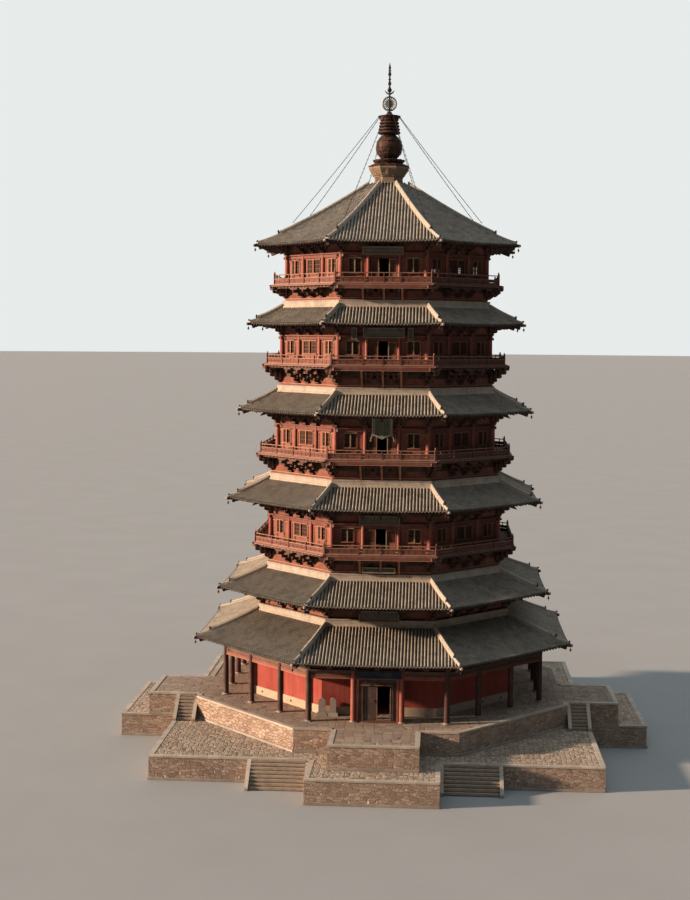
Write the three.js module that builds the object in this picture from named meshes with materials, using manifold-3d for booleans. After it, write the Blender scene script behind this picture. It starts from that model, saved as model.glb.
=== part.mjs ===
// An octagonal timber pagoda of five storeys and six eaves, on a two-tier masonry base.
// It is a scale model: every length below is the real one in metres, and metres() turns it
// into millimetres of the model. +Z is up and the entrance faces -Y.
import * as THREE from "three";
import { mergeVertices } from "three/addons/utils/BufferGeometryUtils.js";
import Module from "manifold-3d";

const wasm = await Module();
wasm.setup();

const MODEL_SCALE = 0.5;
const MM_PER_M = 1000;
const metres = (real) => real * MM_PER_M * MODEL_SCALE;

// Running gap between neighbours that are cut or turned, as a real length
const GAP = 0.0006;

const SIDES = 8;
const TURN = (2 * Math.PI) / SIDES;
const HALF_SIDE = Math.tan(TURN / 2);
const TO_CORNER = 1 / Math.cos(TURN / 2);

// Masonry base
const LOWER_TOP = 2.2;
const UPPER_TOP = 4.4;
const LOWER_HALF = 20.4;
const LOWER_TERRACE_END = 26.0;
const LOWER_TERRACE_HALF = 6.5;
const LOWER_SOUTH_HALF = 5.8;
const UPPER_APOTHEM = 18.18;
const UPPER_TERRACE_END = 23.2;
const UPPER_TERRACE_FRONT = -6.5;
const UPPER_TERRACE_BACK = 0.6;
const UPPER_SOUTH_HALF = 4.0;
const STAIR_RISERS = 8;
const STAIR_TREAD = 0.27;
const CHEEK_WIDTH = 0.35;
const LOWER_STAIR_WIDTH = 5.6;

// Ground storey
const VERANDAH_APOTHEM = 15.48;
const VERANDAH_BAY = 4.47;
const COLUMN_RADIUS = 0.27;
const TIE_BOTTOM = 8.6;
const TIE_TOP = 9.3;
const VERANDAH_SEAT = 11.0;
const VERANDAH_SEAT_HALF = 0.3;
const VERANDAH_ARM_REACH = 1.3;
const VERANDAH_RIDGE_FOOT = 12.4;
const GROUND_WALL_FOOT = 13.0;
const GROUND_WALL_LEDGE = 10.9;
const GROUND_WALL_OUTER = 12.05;
const GROUND_WALL_INNER = 9.45;
const GROUND_WALL_TOP = 12.0;
const PASSAGE_HALF = 1.65;
const PASSAGE_HEAD = 8.0;

// Entrance gate in the middle bay of the verandah
const GATE_HALF = 1.93;
const GATE_DEPTH = 0.26;
const DOOR_HALF = 1.32;
const DOOR_SILL = 0.16;
const DOOR_HEAD = 7.85;
const LEAF_THICKNESS = 0.1;
const LEAF_PLAY = 0.022;
const MEETING_GAP = 0.022;
const PIVOT_RADIUS = 0.06;
const PIVOT_SETBACK = 0.08;
const RIGHT_LEAF_OPEN = -85;

// Timber storeys, by the plane of the wall, the balcony's edge and the heights above ground
const STOREYS = {
  2: { floor: 19.6, wall: 11.3, wallTop: 22.4, balcony: 12.9, rail: 12.7, railTop: 20.7 },
  3: { floor: 28.5, wall: 10.66, wallTop: 31.4, balcony: 12.56, rail: 12.2, railTop: 29.6 },
  4: { floor: 37.3, wall: 10.28, wallTop: 40.1, balcony: 12.0, rail: 11.62, railTop: 38.4 },
  5: { floor: 45.0, wall: 9.84, wallTop: 47.9, balcony: 11.32, rail: 10.96, railTop: 46.2 },
};
const WALL_THICKNESS = 0.32;
const POST_WIDTH = 0.42;
const BAY_SHARE = 0.36;
const SILL_HEIGHT = 1.0;
const WINDOW_HEAD = 0.55;
const WINDOW_WIDTH = 1.1;
const DOORWAY_WIDTH = 0.95;
const FLOOR_THICKNESS = 0.3;
const STAND_THICKNESS = 0.36;

// Roofs, by storey: 0 is the verandah's, 5 the top one. Each is given by the outer plane of
// its top ridge, that ridge's height, the eave's plane and the height of the eave's underside.
const ROOFS = {
  0: { ridge: 12.4, ridgeTop: 13.4, eave: 18.1, eaveZ: 10.28 },
  1: { ridge: 11.62, ridgeTop: 17.6, eave: 15.95, eaveZ: 15.16, seat: 16.4 },
  2: { ridge: 11.4, ridgeTop: 26.5, eave: 15.05, eaveZ: 24.0, seat: 25.4 },
  3: { ridge: 10.72, ridgeTop: 35.2, eave: 14.05, eaveZ: 32.74, seat: 34.1 },
  4: { ridge: 10.18, ridgeTop: 43.46, eave: 13.18, eaveZ: 41.14, seat: 42.34 },
  5: { eave: 12.55, eaveZ: 48.8, seat: 49.9, apex: 55.3 },
};
const RIDGE_WIDTH = 0.35;
const RIDGE_HEIGHT = 0.66;
const EAVE_THICKNESS = 0.32;
const CORNER_LIFT = 0.15;
const CORNER_SWEEP = 0.22;
const HIP_HEIGHT = 0.42;
const HIP_HALF_WIDTH = 0.3;
const ROOF_CURVE = 1.18;

// Finial, by height above ground
const SEAT_APOTHEM = 1.42;
const SEAT_TOP = 57.2;
const BOWL_FOOT = 57.8;
const RINGS_FOOT = 60.2;
const CANOPY_FOOT = 61.8;
const RIM_TOP = 61.92;
const RIM_RADIUS = 0.98;
const CANOPY_TOP = 62.45;
const DISC_HEIGHT = 63.25;
const FINIAL_TIP = 67.31;
const MAST_RADIUS = 0.09;
const STAY_RADIUS = 0.04;
const STAY_FOOT = 9.9;
const LATHE_STEPS = 12;

const group = new THREE.Group();

const finish = (color, roughness, metalness = 0) => ({ color, roughness, metalness });
const FINISHES = {
  paving: finish(0x9a8878, 0.95),
  redWall: finish(0x8e2a1e, 0.9),
  timber: finish(0x6e3226, 0.8),
  brackets: finish(0x5c3326, 0.85),
  tiles: finish(0x6d6258, 0.9),
  brick: finish(0xa5886b, 0.95),
  door: finish(0x43302a, 0.75),
  iron: finish(0x3b332e, 0.7, 0.6),
};

function add(name, geometry, kind) {
  const mesh = new THREE.Mesh(geometry, new THREE.MeshStandardMaterial(FINISHES[kind]));
  mesh.name = name;
  group.add(mesh);
  return mesh;
}

// Solids: joining and cutting

function solid(geometry) {
  const bare = geometry.index ? geometry.toNonIndexed() : geometry.clone();
  bare.deleteAttribute("normal");
  bare.deleteAttribute("uv");
  const merged = mergeVertices(bare, 0.001);
  return new wasm.Manifold(new wasm.Mesh({
    numProp: 3,
    vertProperties: Float32Array.from(merged.attributes.position.array),
    triVerts: Uint32Array.from(merged.index.array),
  }));
}

function geometryOf(body) {
  const mesh = body.getMesh();
  const geometry = new THREE.BufferGeometry();
  geometry.setAttribute("position", new THREE.BufferAttribute(mesh.vertProperties, 3));
  geometry.setIndex(new THREE.BufferAttribute(mesh.triVerts, 1));
  return geometry;
}

const joined = (pieces) => pieces.map(solid).reduce((whole, piece) => whole.add(piece));
const cutOut = (body, tools) => tools.reduce((rest, tool) => rest.subtract(solid(tool)), body);

// Plan geometry: face 0 looks south, and the faces follow each other towards the east

const faceAngle = (face) => -Math.PI / 2 + face * TURN;
const cornerAngle = (face) => faceAngle(face) + TURN / 2;

function facePoint(apothem, face, share) {
  const angle = faceAngle(face);
  const side = apothem * HALF_SIDE * share;
  return new THREE.Vector2(
    apothem * Math.cos(angle) - side * Math.sin(angle),
    apothem * Math.sin(angle) + side * Math.cos(angle),
  );
}

const octagon = (apothem) => Array.from({ length: SIDES }, (_, face) => facePoint(apothem, face, 1));

function outline(points) {
  return new THREE.Shape(points.map((point) => new THREE.Vector2(metres(point.x), metres(point.y))));
}

function upright(shape, bottom, top) {
  const geometry = new THREE.ExtrudeGeometry(shape, {
    depth: metres(top) - metres(bottom),
    bevelEnabled: false,
  });
  return geometry.translate(0, 0, metres(bottom));
}

function octagonRing(outer, inner, bottom, top) {
  const shape = outline(octagon(outer));
  shape.holes.push(outline(octagon(inner)));
  return upright(shape, bottom, top);
}

function block(x0, x1, y0, y1, z0, z1) {
  const size = [x1 - x0, y1 - y0, z1 - z0].map(metres);
  const centre = [x0 + x1, y0 + y1, z0 + z1].map((sum) => metres(sum / 2));
  return new THREE.BoxGeometry(...size).translate(...centre);
}

// A prism whose profile, in distance from the axis and height, is swept sideways by width
function radialPrism(profile, width, angle, sideways = 0) {
  const shape = new THREE.Shape(profile.map(([r, z]) => new THREE.Vector2(metres(r), metres(z))));
  const geometry = new THREE.ExtrudeGeometry(shape, { depth: metres(width), bevelEnabled: false });
  geometry.translate(0, 0, -metres(width / 2) - metres(sideways));
  const outward = new THREE.Vector3(Math.cos(angle), Math.sin(angle), 0);
  const up = new THREE.Vector3(0, 0, 1);
  const across = outward.clone().cross(up);
  return geometry.applyMatrix4(new THREE.Matrix4().makeBasis(outward, up, across));
}

// Masonry base

function lowerPlatform() {
  const half = LOWER_HALF;
  const slab = block(-half, half, -half, half, 0, LOWER_TOP);
  const eastWest = block(
    -LOWER_TERRACE_END, LOWER_TERRACE_END, -LOWER_TERRACE_HALF, LOWER_TERRACE_HALF, 0, LOWER_TOP,
  );
  const south = block(-LOWER_SOUTH_HALF, LOWER_SOUTH_HALF, -LOWER_TERRACE_END, 0, 0, LOWER_TOP);
  return geometryOf(joined([slab, eastWest, south]));
}

function upperPlatform() {
  const drum = upright(outline(octagon(UPPER_APOTHEM)), LOWER_TOP, UPPER_TOP);
  const eastWest = block(
    -UPPER_TERRACE_END, UPPER_TERRACE_END, UPPER_TERRACE_FRONT, UPPER_TERRACE_BACK,
    LOWER_TOP, UPPER_TOP,
  );
  const south = block(
    -UPPER_SOUTH_HALF, UPPER_SOUTH_HALF, -UPPER_TERRACE_END, 0, LOWER_TOP, UPPER_TOP,
  );
  return geometryOf(joined([drum, eastWest, south]));
}

// A flight that comes down towards the south from y = back, between two sloping cheeks
function flight(x0, x1, back, bottom, top) {
  const rise = (top - bottom) / STAIR_RISERS;
  const run = STAIR_TREAD * STAIR_RISERS;
  const steps = [[0, bottom], [run, bottom]];
  for (let step = 1; step <= STAIR_RISERS; step += 1) {
    const out = run - STAIR_TREAD * (step - 1);
    steps.push([out, bottom + rise * step], [out - STAIR_TREAD, bottom + rise * step]);
  }
  const cheek = [[0, bottom], [run + STAIR_TREAD, bottom], [run + STAIR_TREAD, bottom + rise], [0, top]];
  const place = (profile, width, x) => (
    radialPrism(profile, width, -Math.PI / 2).translate(metres(x), metres(back), 0)
  );
  return geometryOf(joined([
    place(steps, x1 - x0 - CHEEK_WIDTH, (x0 + x1) / 2),
    place(cheek, CHEEK_WIDTH, x0 + CHEEK_WIDTH / 2),
    place(cheek, CHEEK_WIDTH, x1 - CHEEK_WIDTH / 2),
  ]));
}

add("lower_platform", lowerPlatform(), "paving");
add("upper_platform", upperPlatform(), "paving");
const lowerStairEnd = LOWER_SOUTH_HALF + LOWER_STAIR_WIDTH;
add("lower_stair_west", flight(-lowerStairEnd, -LOWER_SOUTH_HALF, -LOWER_HALF, 0, LOWER_TOP), "brick");
add("lower_stair_east", flight(LOWER_SOUTH_HALF, lowerStairEnd, -LOWER_HALF, 0, LOWER_TOP), "brick");
add(
  "upper_stair_west",
  flight(-LOWER_HALF, -UPPER_APOTHEM, UPPER_TERRACE_FRONT, LOWER_TOP, UPPER_TOP),
  "brick",
);
add(
  "upper_stair_east",
  flight(UPPER_APOTHEM, LOWER_HALF, UPPER_TERRACE_FRONT, LOWER_TOP, UPPER_TOP),
  "brick",
);

// Ground storey: thick masonry walls in segments, with the passage through the south one. They
// are thicker up to a ledge that the verandah's ceiling hides.

function wallSegment(pointsFor) {
  const thick = upright(outline(pointsFor(GROUND_WALL_FOOT)), UPPER_TOP, GROUND_WALL_LEDGE);
  const plain = upright(outline(pointsFor(GROUND_WALL_OUTER)), UPPER_TOP, GROUND_WALL_TOP);
  return geometryOf(joined([thick, plain]));
}

// The run of wall from one corner to a later one, with mitred ends set back by the gap
function wallRun(firstFace, lastFace) {
  const corners = (apothem) => {
    const run = [];
    const setback = GAP / (apothem * HALF_SIDE);
    run.push(facePoint(apothem, firstFace, -1 + setback));
    for (let face = firstFace; face < lastFace; face += 1) run.push(facePoint(apothem, face, 1));
    run.push(facePoint(apothem, lastFace, 1 - setback));
    return run;
  };
  return wallSegment((outer) => [...corners(outer), ...corners(GROUND_WALL_INNER).reverse()]);
}

function southWall(side) {
  return wallSegment((outer) => [
    new THREE.Vector2(side * PASSAGE_HALF, -outer),
    new THREE.Vector2(side * outer * HALF_SIDE, -outer),
    new THREE.Vector2(side * GROUND_WALL_INNER * HALF_SIDE, -GROUND_WALL_INNER),
    new THREE.Vector2(side * PASSAGE_HALF, -GROUND_WALL_INNER),
  ]);
}

const headBlock = (outer, top) => block(
  -PASSAGE_HALF, PASSAGE_HALF, -outer, -GROUND_WALL_INNER, PASSAGE_HEAD, top,
);
const southHead = geometryOf(joined([
  headBlock(GROUND_WALL_FOOT, GROUND_WALL_LEDGE), headBlock(GROUND_WALL_OUTER, GROUND_WALL_TOP),
]));
add("ground_wall_south_left", southWall(-1), "redWall");
add("ground_wall_south_right", southWall(1), "redWall");
add("ground_wall_south_head", southHead, "redWall");
add("ground_wall_east", wallRun(1, 3), "redWall");
add("ground_wall_north", wallRun(4, 4), "redWall");
add("ground_wall_west", wallRun(5, 7), "redWall");

// Bracket arms: wedges that lean out from a wall plane to carry what is above
const ARM_ROOT = 0.15;
const ARM_PLAY = 0.02;
const ARM_WIDTH = 0.5;
const EAVE_ARM_WIDTH = 0.62;
const EAVE_ARM_SHARE = 0.52;
const EAVE_ARM_DROP = 2.0;
const EAVE_ARM_RISE = 0.5;

function bracketArms({ plane, reach, foot, seat, tip, width, places }) {
  const profile = [[plane - ARM_ROOT, foot], [plane + reach, tip], [plane - ARM_ROOT, seat]];
  const arms = [];
  for (let face = 0; face < SIDES; face += 1) {
    for (const share of places) {
      arms.push(radialPrism(profile, width, faceAngle(face), plane * HALF_SIDE * share));
    }
    const corner = profile.map(([r, z]) => [r * TO_CORNER, z]);
    arms.push(radialPrism(corner, width, cornerAngle(face)));
  }
  return arms;
}

// Roof shells

// A closed skin through loops of equal length, each joined to the next and the last to the
// first. Where points of a loop coincide, the empty triangles between them are left out.
function ringLoft(loops) {
  const count = loops[0].length;
  const positions = loops.flat().flatMap((point) => [point.x, point.y, point.z]);
  const index = [];
  for (let row = 0; row < loops.length; row += 1) {
    const next = (row + 1) % loops.length;
    for (let i = 0; i < count; i += 1) {
      const j = (i + 1) % count;
      index.push(row * count + i, next * count + j, row * count + j);
      index.push(row * count + i, next * count + i, next * count + j);
    }
  }
  const geometry = new THREE.BufferGeometry();
  geometry.setAttribute("position", new THREE.Float32BufferAttribute(positions, 3));
  geometry.setIndex(index);
  const merged = mergeVertices(geometry, 0.001);
  const kept = [];
  for (let i = 0; i < merged.index.count; i += 3) {
    const [a, b, c] = [0, 1, 2].map((step) => merged.index.getX(i + step));
    if (a !== b && b !== c && c !== a) kept.push(a, b, c);
  }
  merged.setIndex(kept);
  return merged;
}

// One loop of a roof. Across each face a tiled row runs hip crest, hip foot, two points and
// hip foot, and a plain row has only its corners. Corners lift and sweep out towards the eave.
function roofLoop({ apothem, z, lift = 0, sweep = 0, crest = 0, plain = false }) {
  const foot = Math.max(0.5, 1 - HIP_HALF_WIDTH / (apothem * HALF_SIDE));
  const inner = Math.min(0.4, foot * 0.6);
  const shares = plain ? [-1, -1, -1, 1, 1] : [-1, -foot, -inner, inner, foot];
  const loop = [];
  for (let face = 0; face < SIDES; face += 1) {
    for (const share of shares) {
      const rise = lift * Math.abs(share) ** 3 + (share === -1 ? crest : 0);
      const reach = 1 + (sweep * Math.abs(share) ** 8) / (apothem * TO_CORNER);
      const point = facePoint(apothem * reach, face, share);
      loop.push(new THREE.Vector3(metres(point.x), metres(point.y), metres(z + rise)));
    }
  }
  return loop;
}

const plainRow = ([apothem, z]) => ({ apothem, z, plain: true });

function tileRow(roof, top, start, t) {
  const eaveTop = roof.eaveZ + EAVE_THICKNESS;
  return {
    apothem: start + (roof.eave - start) * t,
    z: eaveTop + (top - eaveTop) * (1 - t) ** ROOF_CURVE,
    lift: CORNER_LIFT * t * t,
    sweep: CORNER_SWEEP * t * t,
    crest: t < 1 ? HIP_HEIGHT : HIP_HEIGHT / 3,
  };
}

const SKIRT_ROWS = [0, 0.36, 0.72, 1];
const TILE_SETBACK = 0.06;

function skirtRoof(roof, underside) {
  const inner = roof.ridge - RIDGE_WIDTH + GAP;
  const tileTop = roof.ridgeTop - RIDGE_HEIGHT;
  const tileStart = roof.ridge + TILE_SETBACK;
  const rows = [
    plainRow([inner, underside[0][1]]),
    plainRow([inner, roof.ridgeTop]),
    plainRow([roof.ridge, roof.ridgeTop]),
    ...SKIRT_ROWS.map((t) => tileRow(roof, tileTop, tileStart, t)),
    { apothem: roof.eave, z: roof.eaveZ, lift: CORNER_LIFT, sweep: CORNER_SWEEP },
    ...underside.slice(1).map(plainRow).reverse(),
  ];
  return ringLoft(rows.map(roofLoop));
}

const TOP_START = SEAT_APOTHEM + 0.25;
const TOP_HOLE = 0.5;
const TOP_ROWS = [0.05, 0.3, 0.55, 0.8, 1];

function topRoof(roof, wallPlane) {
  const rows = [
    plainRow([TOP_HOLE, roof.apex - EAVE_THICKNESS]),
    plainRow([TOP_HOLE, roof.apex]),
    plainRow([TOP_START, roof.apex]),
    ...TOP_ROWS.map((t) => tileRow(roof, roof.apex, TOP_START, t)),
    { apothem: roof.eave, z: roof.eaveZ, lift: CORNER_LIFT, sweep: CORNER_SWEEP },
    plainRow([wallPlane, roof.seat]),
    plainRow([wallPlane - WALL_THICKNESS, roof.seat]),
    plainRow([TOP_START, roof.apex - EAVE_THICKNESS]),
  ];
  return ringLoft(rows.map(roofLoop));
}

// The underside is straight from its seat to the eave
function undersideAt(roof, seatPlane, seat, apothem) {
  return seat + ((roof.eaveZ - seat) * (apothem - seatPlane)) / (roof.eave - seatPlane);
}

// Verandah: a ring of columns, tied at the top and carrying brackets and a lean-to roof

const bayShares = [-1, 1].map((side) => (side * VERANDAH_BAY) / 2 / (VERANDAH_APOTHEM * HALF_SIDE));

function column(x, y, radius, bottom, top) {
  const geometry = new THREE.CylinderGeometry(metres(radius), metres(radius), metres(top - bottom), 8);
  geometry.rotateX(Math.PI / 2);
  return geometry.translate(metres(x), metres(y), metres((top + bottom) / 2));
}

function verandahColumns() {
  const columns = [];
  for (let face = 0; face < SIDES; face += 1) {
    for (const share of [...bayShares, 1]) {
      const point = facePoint(VERANDAH_APOTHEM, face, share);
      columns.push(column(point.x, point.y, COLUMN_RADIUS, UPPER_TOP, TIE_TOP));
    }
  }
  const roof = ROOFS[0];
  const plane = VERANDAH_APOTHEM + VERANDAH_SEAT_HALF;
  const reach = VERANDAH_ARM_REACH;
  const ring = octagonRing(plane, VERANDAH_APOTHEM - VERANDAH_SEAT_HALF, TIE_BOTTOM, VERANDAH_SEAT);
  const arms = bracketArms({
    plane,
    reach,
    foot: TIE_TOP,
    seat: VERANDAH_SEAT - ARM_PLAY,
    tip: undersideAt(roof, plane, VERANDAH_SEAT, plane + reach) - ARM_PLAY,
    width: ARM_WIDTH,
    places: bayShares,
  });
  return geometryOf(joined([ring, ...columns, ...arms]));
}

add("verandah_columns", verandahColumns(), "timber");
add("verandah_roof", skirtRoof(ROOFS[0], [
  [0, VERANDAH_RIDGE_FOOT],
  [VERANDAH_APOTHEM - VERANDAH_SEAT_HALF, VERANDAH_SEAT],
  [VERANDAH_APOTHEM + VERANDAH_SEAT_HALF, VERANDAH_SEAT],
]), "tiles");

// Entrance gate with two leaves: the left one shut, the right one turned inwards

const gateFront = -VERANDAH_APOTHEM - GATE_DEPTH / 2;
const gateBack = -VERANDAH_APOTHEM + GATE_DEPTH / 2;
const sillTop = UPPER_TOP + DOOR_SILL;

function doorFrame() {
  const panel = block(-GATE_HALF, GATE_HALF, gateFront, gateBack, UPPER_TOP, TIE_BOTTOM);
  const opening = block(
    -DOOR_HALF, DOOR_HALF, gateFront - GATE_DEPTH, gateBack + GATE_DEPTH, sillTop, DOOR_HEAD,
  );
  return geometryOf(cutOut(solid(panel), [opening]));
}

function doorLeaf(side) {
  const pivot = side * (DOOR_HALF - PIVOT_SETBACK);
  const bottom = sillTop + LEAF_PLAY;
  const top = DOOR_HEAD - LEAF_PLAY;
  const [x0, x1] = [pivot, (side * MEETING_GAP) / 2].sort((a, b) => a - b);
  const panel = block(x0 - pivot, x1 - pivot, -LEAF_THICKNESS / 2, LEAF_THICKNESS / 2, bottom, top);
  const stile = column(0, 0, PIVOT_RADIUS, sillTop + GAP, DOOR_HEAD - GAP);
  return { pivot, geometry: geometryOf(joined([panel, stile])) };
}

add("door_frame", doorFrame(), "timber");
for (const [name, side, open] of [["door_leaf_left", -1, 0], ["door_leaf_right", 1, RIGHT_LEAF_OPEN]]) {
  const { pivot, geometry } = doorLeaf(side);
  const leaf = add(name, geometry, "door");
  leaf.position.set(metres(pivot), metres(-VERANDAH_APOTHEM), 0);
  leaf.rotation.z = THREE.MathUtils.degToRad(open);
}

// Eave brackets: a ring on each wall, with arms that reach out under the roof

function eaveBrackets(storey, plane, inner, bottom) {
  const roof = ROOFS[storey];
  const reach = (roof.eave - plane) * EAVE_ARM_SHARE;
  const armFoot = Math.max(bottom + EAVE_ARM_RISE, roof.seat - EAVE_ARM_DROP);
  const ring = octagonRing(plane, inner, bottom, roof.seat);
  const arms = bracketArms({
    plane,
    reach,
    foot: armFoot,
    seat: roof.seat - ARM_PLAY,
    tip: undersideAt(roof, plane, roof.seat, plane + reach) - ARM_PLAY,
    width: EAVE_ARM_WIDTH,
    places: [-BAY_SHARE, BAY_SHARE],
  });
  return geometryOf(joined([ring, ...arms]));
}

// The stand of each balcony: a ring with arms below, and the floor that spans the storey
const STAND_LAP = 0.1;
const STAND_ARM_RISE = 0.25;
const FLOOR_OVERHANG = 0.12;

const standPlane = (storey) => ROOFS[storey - 1].ridge - RIDGE_WIDTH;

function balcony(storey) {
  const { floor, balcony: edge } = STOREYS[storey];
  const plane = standPlane(storey);
  const below = floor - FLOOR_THICKNESS;
  const foot = ROOFS[storey - 1].seat;
  const armTop = below + STAND_LAP;
  const ring = octagonRing(plane, plane - STAND_THICKNESS, foot, armTop);
  const slab = upright(outline(octagon(edge)), below, floor);
  const ridgeTop = ROOFS[storey - 1].ridgeTop;
  const arms = bracketArms({
    plane,
    reach: edge - plane - FLOOR_OVERHANG,
    foot: ridgeTop + STAND_ARM_RISE,
    seat: armTop,
    tip: armTop,
    width: ARM_WIDTH,
    places: [-BAY_SHARE, BAY_SHARE],
  });
  return geometryOf(joined([ring, slab, ...arms]));
}

// A storey's wall: engaged posts on its face, a doorway in the middle bay of the four
// main sides and a window in every other bay
const THRESHOLD = 0.15;
const WIDE_WINDOW_WIDTH = 1.98;

function storeyWall(storey) {
  const { floor, wall, wallTop } = STOREYS[storey];
  const pieces = [octagonRing(wall, wall - WALL_THICKNESS, floor, wallTop)];
  const holes = [];
  const cutter = (face, share, width, z0, z1) => {
    const profile = [[wall - 1, z0], [wall + 1, z0], [wall + 1, z1], [wall - 1, z1]];
    holes.push(radialPrism(profile, width, faceAngle(face), wall * HALF_SIDE * share));
  };
  for (let face = 0; face < SIDES; face += 1) {
    for (const share of [-BAY_SHARE, BAY_SHARE, 1]) {
      const point = facePoint(wall, face, share);
      const post = new THREE.BoxGeometry(
        metres(POST_WIDTH), metres(POST_WIDTH), metres(wallTop - floor),
      );
      post.rotateZ(share === 1 ? cornerAngle(face) : faceAngle(face));
      pieces.push(post.translate(metres(point.x), metres(point.y), metres((floor + wallTop) / 2)));
    }
    const sideBay = (1 + BAY_SHARE) / 2;
    for (const share of [-sideBay, sideBay]) {
      cutter(face, share, WINDOW_WIDTH, floor + SILL_HEIGHT, wallTop - WINDOW_HEAD);
    }
    const main = face % 2 === 0;
    const width = main ? DOORWAY_WIDTH : WIDE_WINDOW_WIDTH;
    const sill = main ? THRESHOLD : SILL_HEIGHT;
    cutter(face, 0, width, floor + sill, wallTop - WINDOW_HEAD);
  }
  return geometryOf(cutOut(joined(pieces), holes));
}

// A railing: a thin ring with a gap under its top rail, and corner posts that stand higher
const RAIL_THICKNESS = 0.12;
const RAIL_BOARD = 0.55;
const TOP_RAIL = 0.14;
const CORNER_POST = 0.2;
const POST_RISE = 0.3;

function railing(storey) {
  const { floor, rail, railTop } = STOREYS[storey];
  const ring = octagonRing(rail, rail - RAIL_THICKNESS, floor, railTop);
  const posts = [];
  const gaps = [];
  for (let face = 0; face < SIDES; face += 1) {
    const middle = rail - RAIL_THICKNESS / 2;
    const point = facePoint(middle, face, 1);
    const post = new THREE.BoxGeometry(
      metres(CORNER_POST), metres(CORNER_POST), metres(railTop + POST_RISE - floor),
    );
    post.rotateZ(cornerAngle(face));
    posts.push(post.translate(
      metres(point.x), metres(point.y), metres((floor + railTop + POST_RISE) / 2),
    ));
    const width = 2 * rail * HALF_SIDE - 4 * CORNER_POST;
    const profile = [
      [rail - 1, floor + RAIL_BOARD], [rail + 1, floor + RAIL_BOARD],
      [rail + 1, railTop - TOP_RAIL], [rail - 1, railTop - TOP_RAIL],
    ];
    gaps.push(radialPrism(profile, width, faceAngle(face)));
  }
  return geometryOf(cutOut(joined([ring, ...posts]), gaps));
}

const underside = (storey, plane) => [
  [standPlane(storey + 1), ROOFS[storey].seat],
  [plane, ROOFS[storey].seat],
];

add("eave_brackets_1", eaveBrackets(1, GROUND_WALL_OUTER, 10.85, GROUND_WALL_TOP), "brackets");
add("roof_1", skirtRoof(ROOFS[1], underside(1, GROUND_WALL_OUTER)), "tiles");
for (let storey = 2; storey <= 5; storey += 1) {
  const { wall, wallTop } = STOREYS[storey];
  const top = storey === 5;
  const inner = top ? wall - WALL_THICKNESS : standPlane(storey + 1) - STAND_THICKNESS;
  add(`balcony_${storey}`, balcony(storey), "brackets");
  add(`railing_${storey}`, railing(storey), "timber");
  add(`storey_wall_${storey}`, storeyWall(storey), "timber");
  add(`eave_brackets_${storey}`, eaveBrackets(storey, wall, inner, wallTop), "brackets");
  const shell = top ? topRoof(ROOFS[storey], wall) : skirtRoof(ROOFS[storey], underside(storey, wall));
  add(`roof_${storey}`, shell, "tiles");
}

// Finial: an octagonal brick seat, then iron pieces threaded on one mast

function turned(profile, steps = LATHE_STEPS) {
  const points = profile.map(([r, z]) => new THREE.Vector2(metres(r), metres(z)));
  return new THREE.LatheGeometry(points, steps).rotateX(Math.PI / 2);
}

function ringTurned(profile, steps = LATHE_STEPS) {
  return turned([...profile, profile[0]], steps);
}

function brickSeat() {
  const apex = ROOFS[5].apex;
  const profile = [
    [0, apex], [1.54, apex], [1.5, 56.05], [1.62, 56.1], [2.05, 56.75], [2.05, 56.95],
    [1.6, SEAT_TOP], [0, SEAT_TOP],
  ];
  return turned(profile, SIDES).rotateZ(TURN / 2);
}

add("brick_seat", brickSeat(), "brick");
add("finial_lotus", turned([
  [0, SEAT_TOP], [1.3, SEAT_TOP], [1.66, 57.55], [1.62, 57.66], [0.85, BOWL_FOOT], [0, BOWL_FOOT],
]), "iron");
add("finial_bowl", turned([
  [0, BOWL_FOOT], [0.8, BOWL_FOOT], [1.18, 58.3], [1.3, 58.9], [1.2, 59.5], [0.85, 60.0],
  [0.6, RINGS_FOOT], [0, RINGS_FOOT],
]), "iron");

// A stack of rings that narrows upwards and ends in a small canopy
const RING_COUNT = 5;
const RING_RADIUS = 1.13;
const RING_TAPER = 0.2;
const GROOVE_DEPTH = 0.22;

function ringStack() {
  const pitch = (CANOPY_FOOT - RINGS_FOOT) / RING_COUNT;
  const profile = [[0, RINGS_FOOT]];
  for (let ring = 0; ring < RING_COUNT; ring += 1) {
    const radius = RING_RADIUS - (RING_TAPER * ring) / (RING_COUNT - 1);
    const foot = RINGS_FOOT + pitch * ring;
    if (ring > 0) profile.push([radius - GROOVE_DEPTH, foot]);
    profile.push([radius, foot + pitch * 0.3], [radius, foot + pitch * 0.8]);
  }
  profile.push(
    [0.7, CANOPY_FOOT], [RIM_RADIUS, CANOPY_FOOT], [RIM_RADIUS, RIM_TOP], [0.74, RIM_TOP],
    [0.3, 62.25], [0.2, CANOPY_TOP], [0, CANOPY_TOP],
  );
  return turned(profile);
}

add("finial_rings", ringStack(), "iron");

const CRESCENT_HEIGHT = 64.62;
const CRESCENT_RADIUS = 0.48;
const CRESCENT_RISE = 0.24;
const CRESCENT_THICKNESS = 0.12;
const SPIKE_HEIGHT = 0.6;
const SPIKE_LAP = 0.1;
const DISC_RADIUS = 0.6;
const DISC_TUBE = 0.14;
const SPOKE_HALF = 0.08;

// Horns up: the outer arc is a half circle and the inner one a flatter arc on the same ends
function crescentShape() {
  const radius = metres(CRESCENT_RADIUS);
  const rise = metres(CRESCENT_RISE);
  const tilt = Math.atan2(rise, radius);
  const shape = new THREE.Shape();
  shape.absarc(0, 0, radius, Math.PI, 2 * Math.PI, false);
  shape.absarc(0, rise, Math.hypot(radius, rise), -tilt, Math.PI + tilt, true);
  return shape;
}

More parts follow.
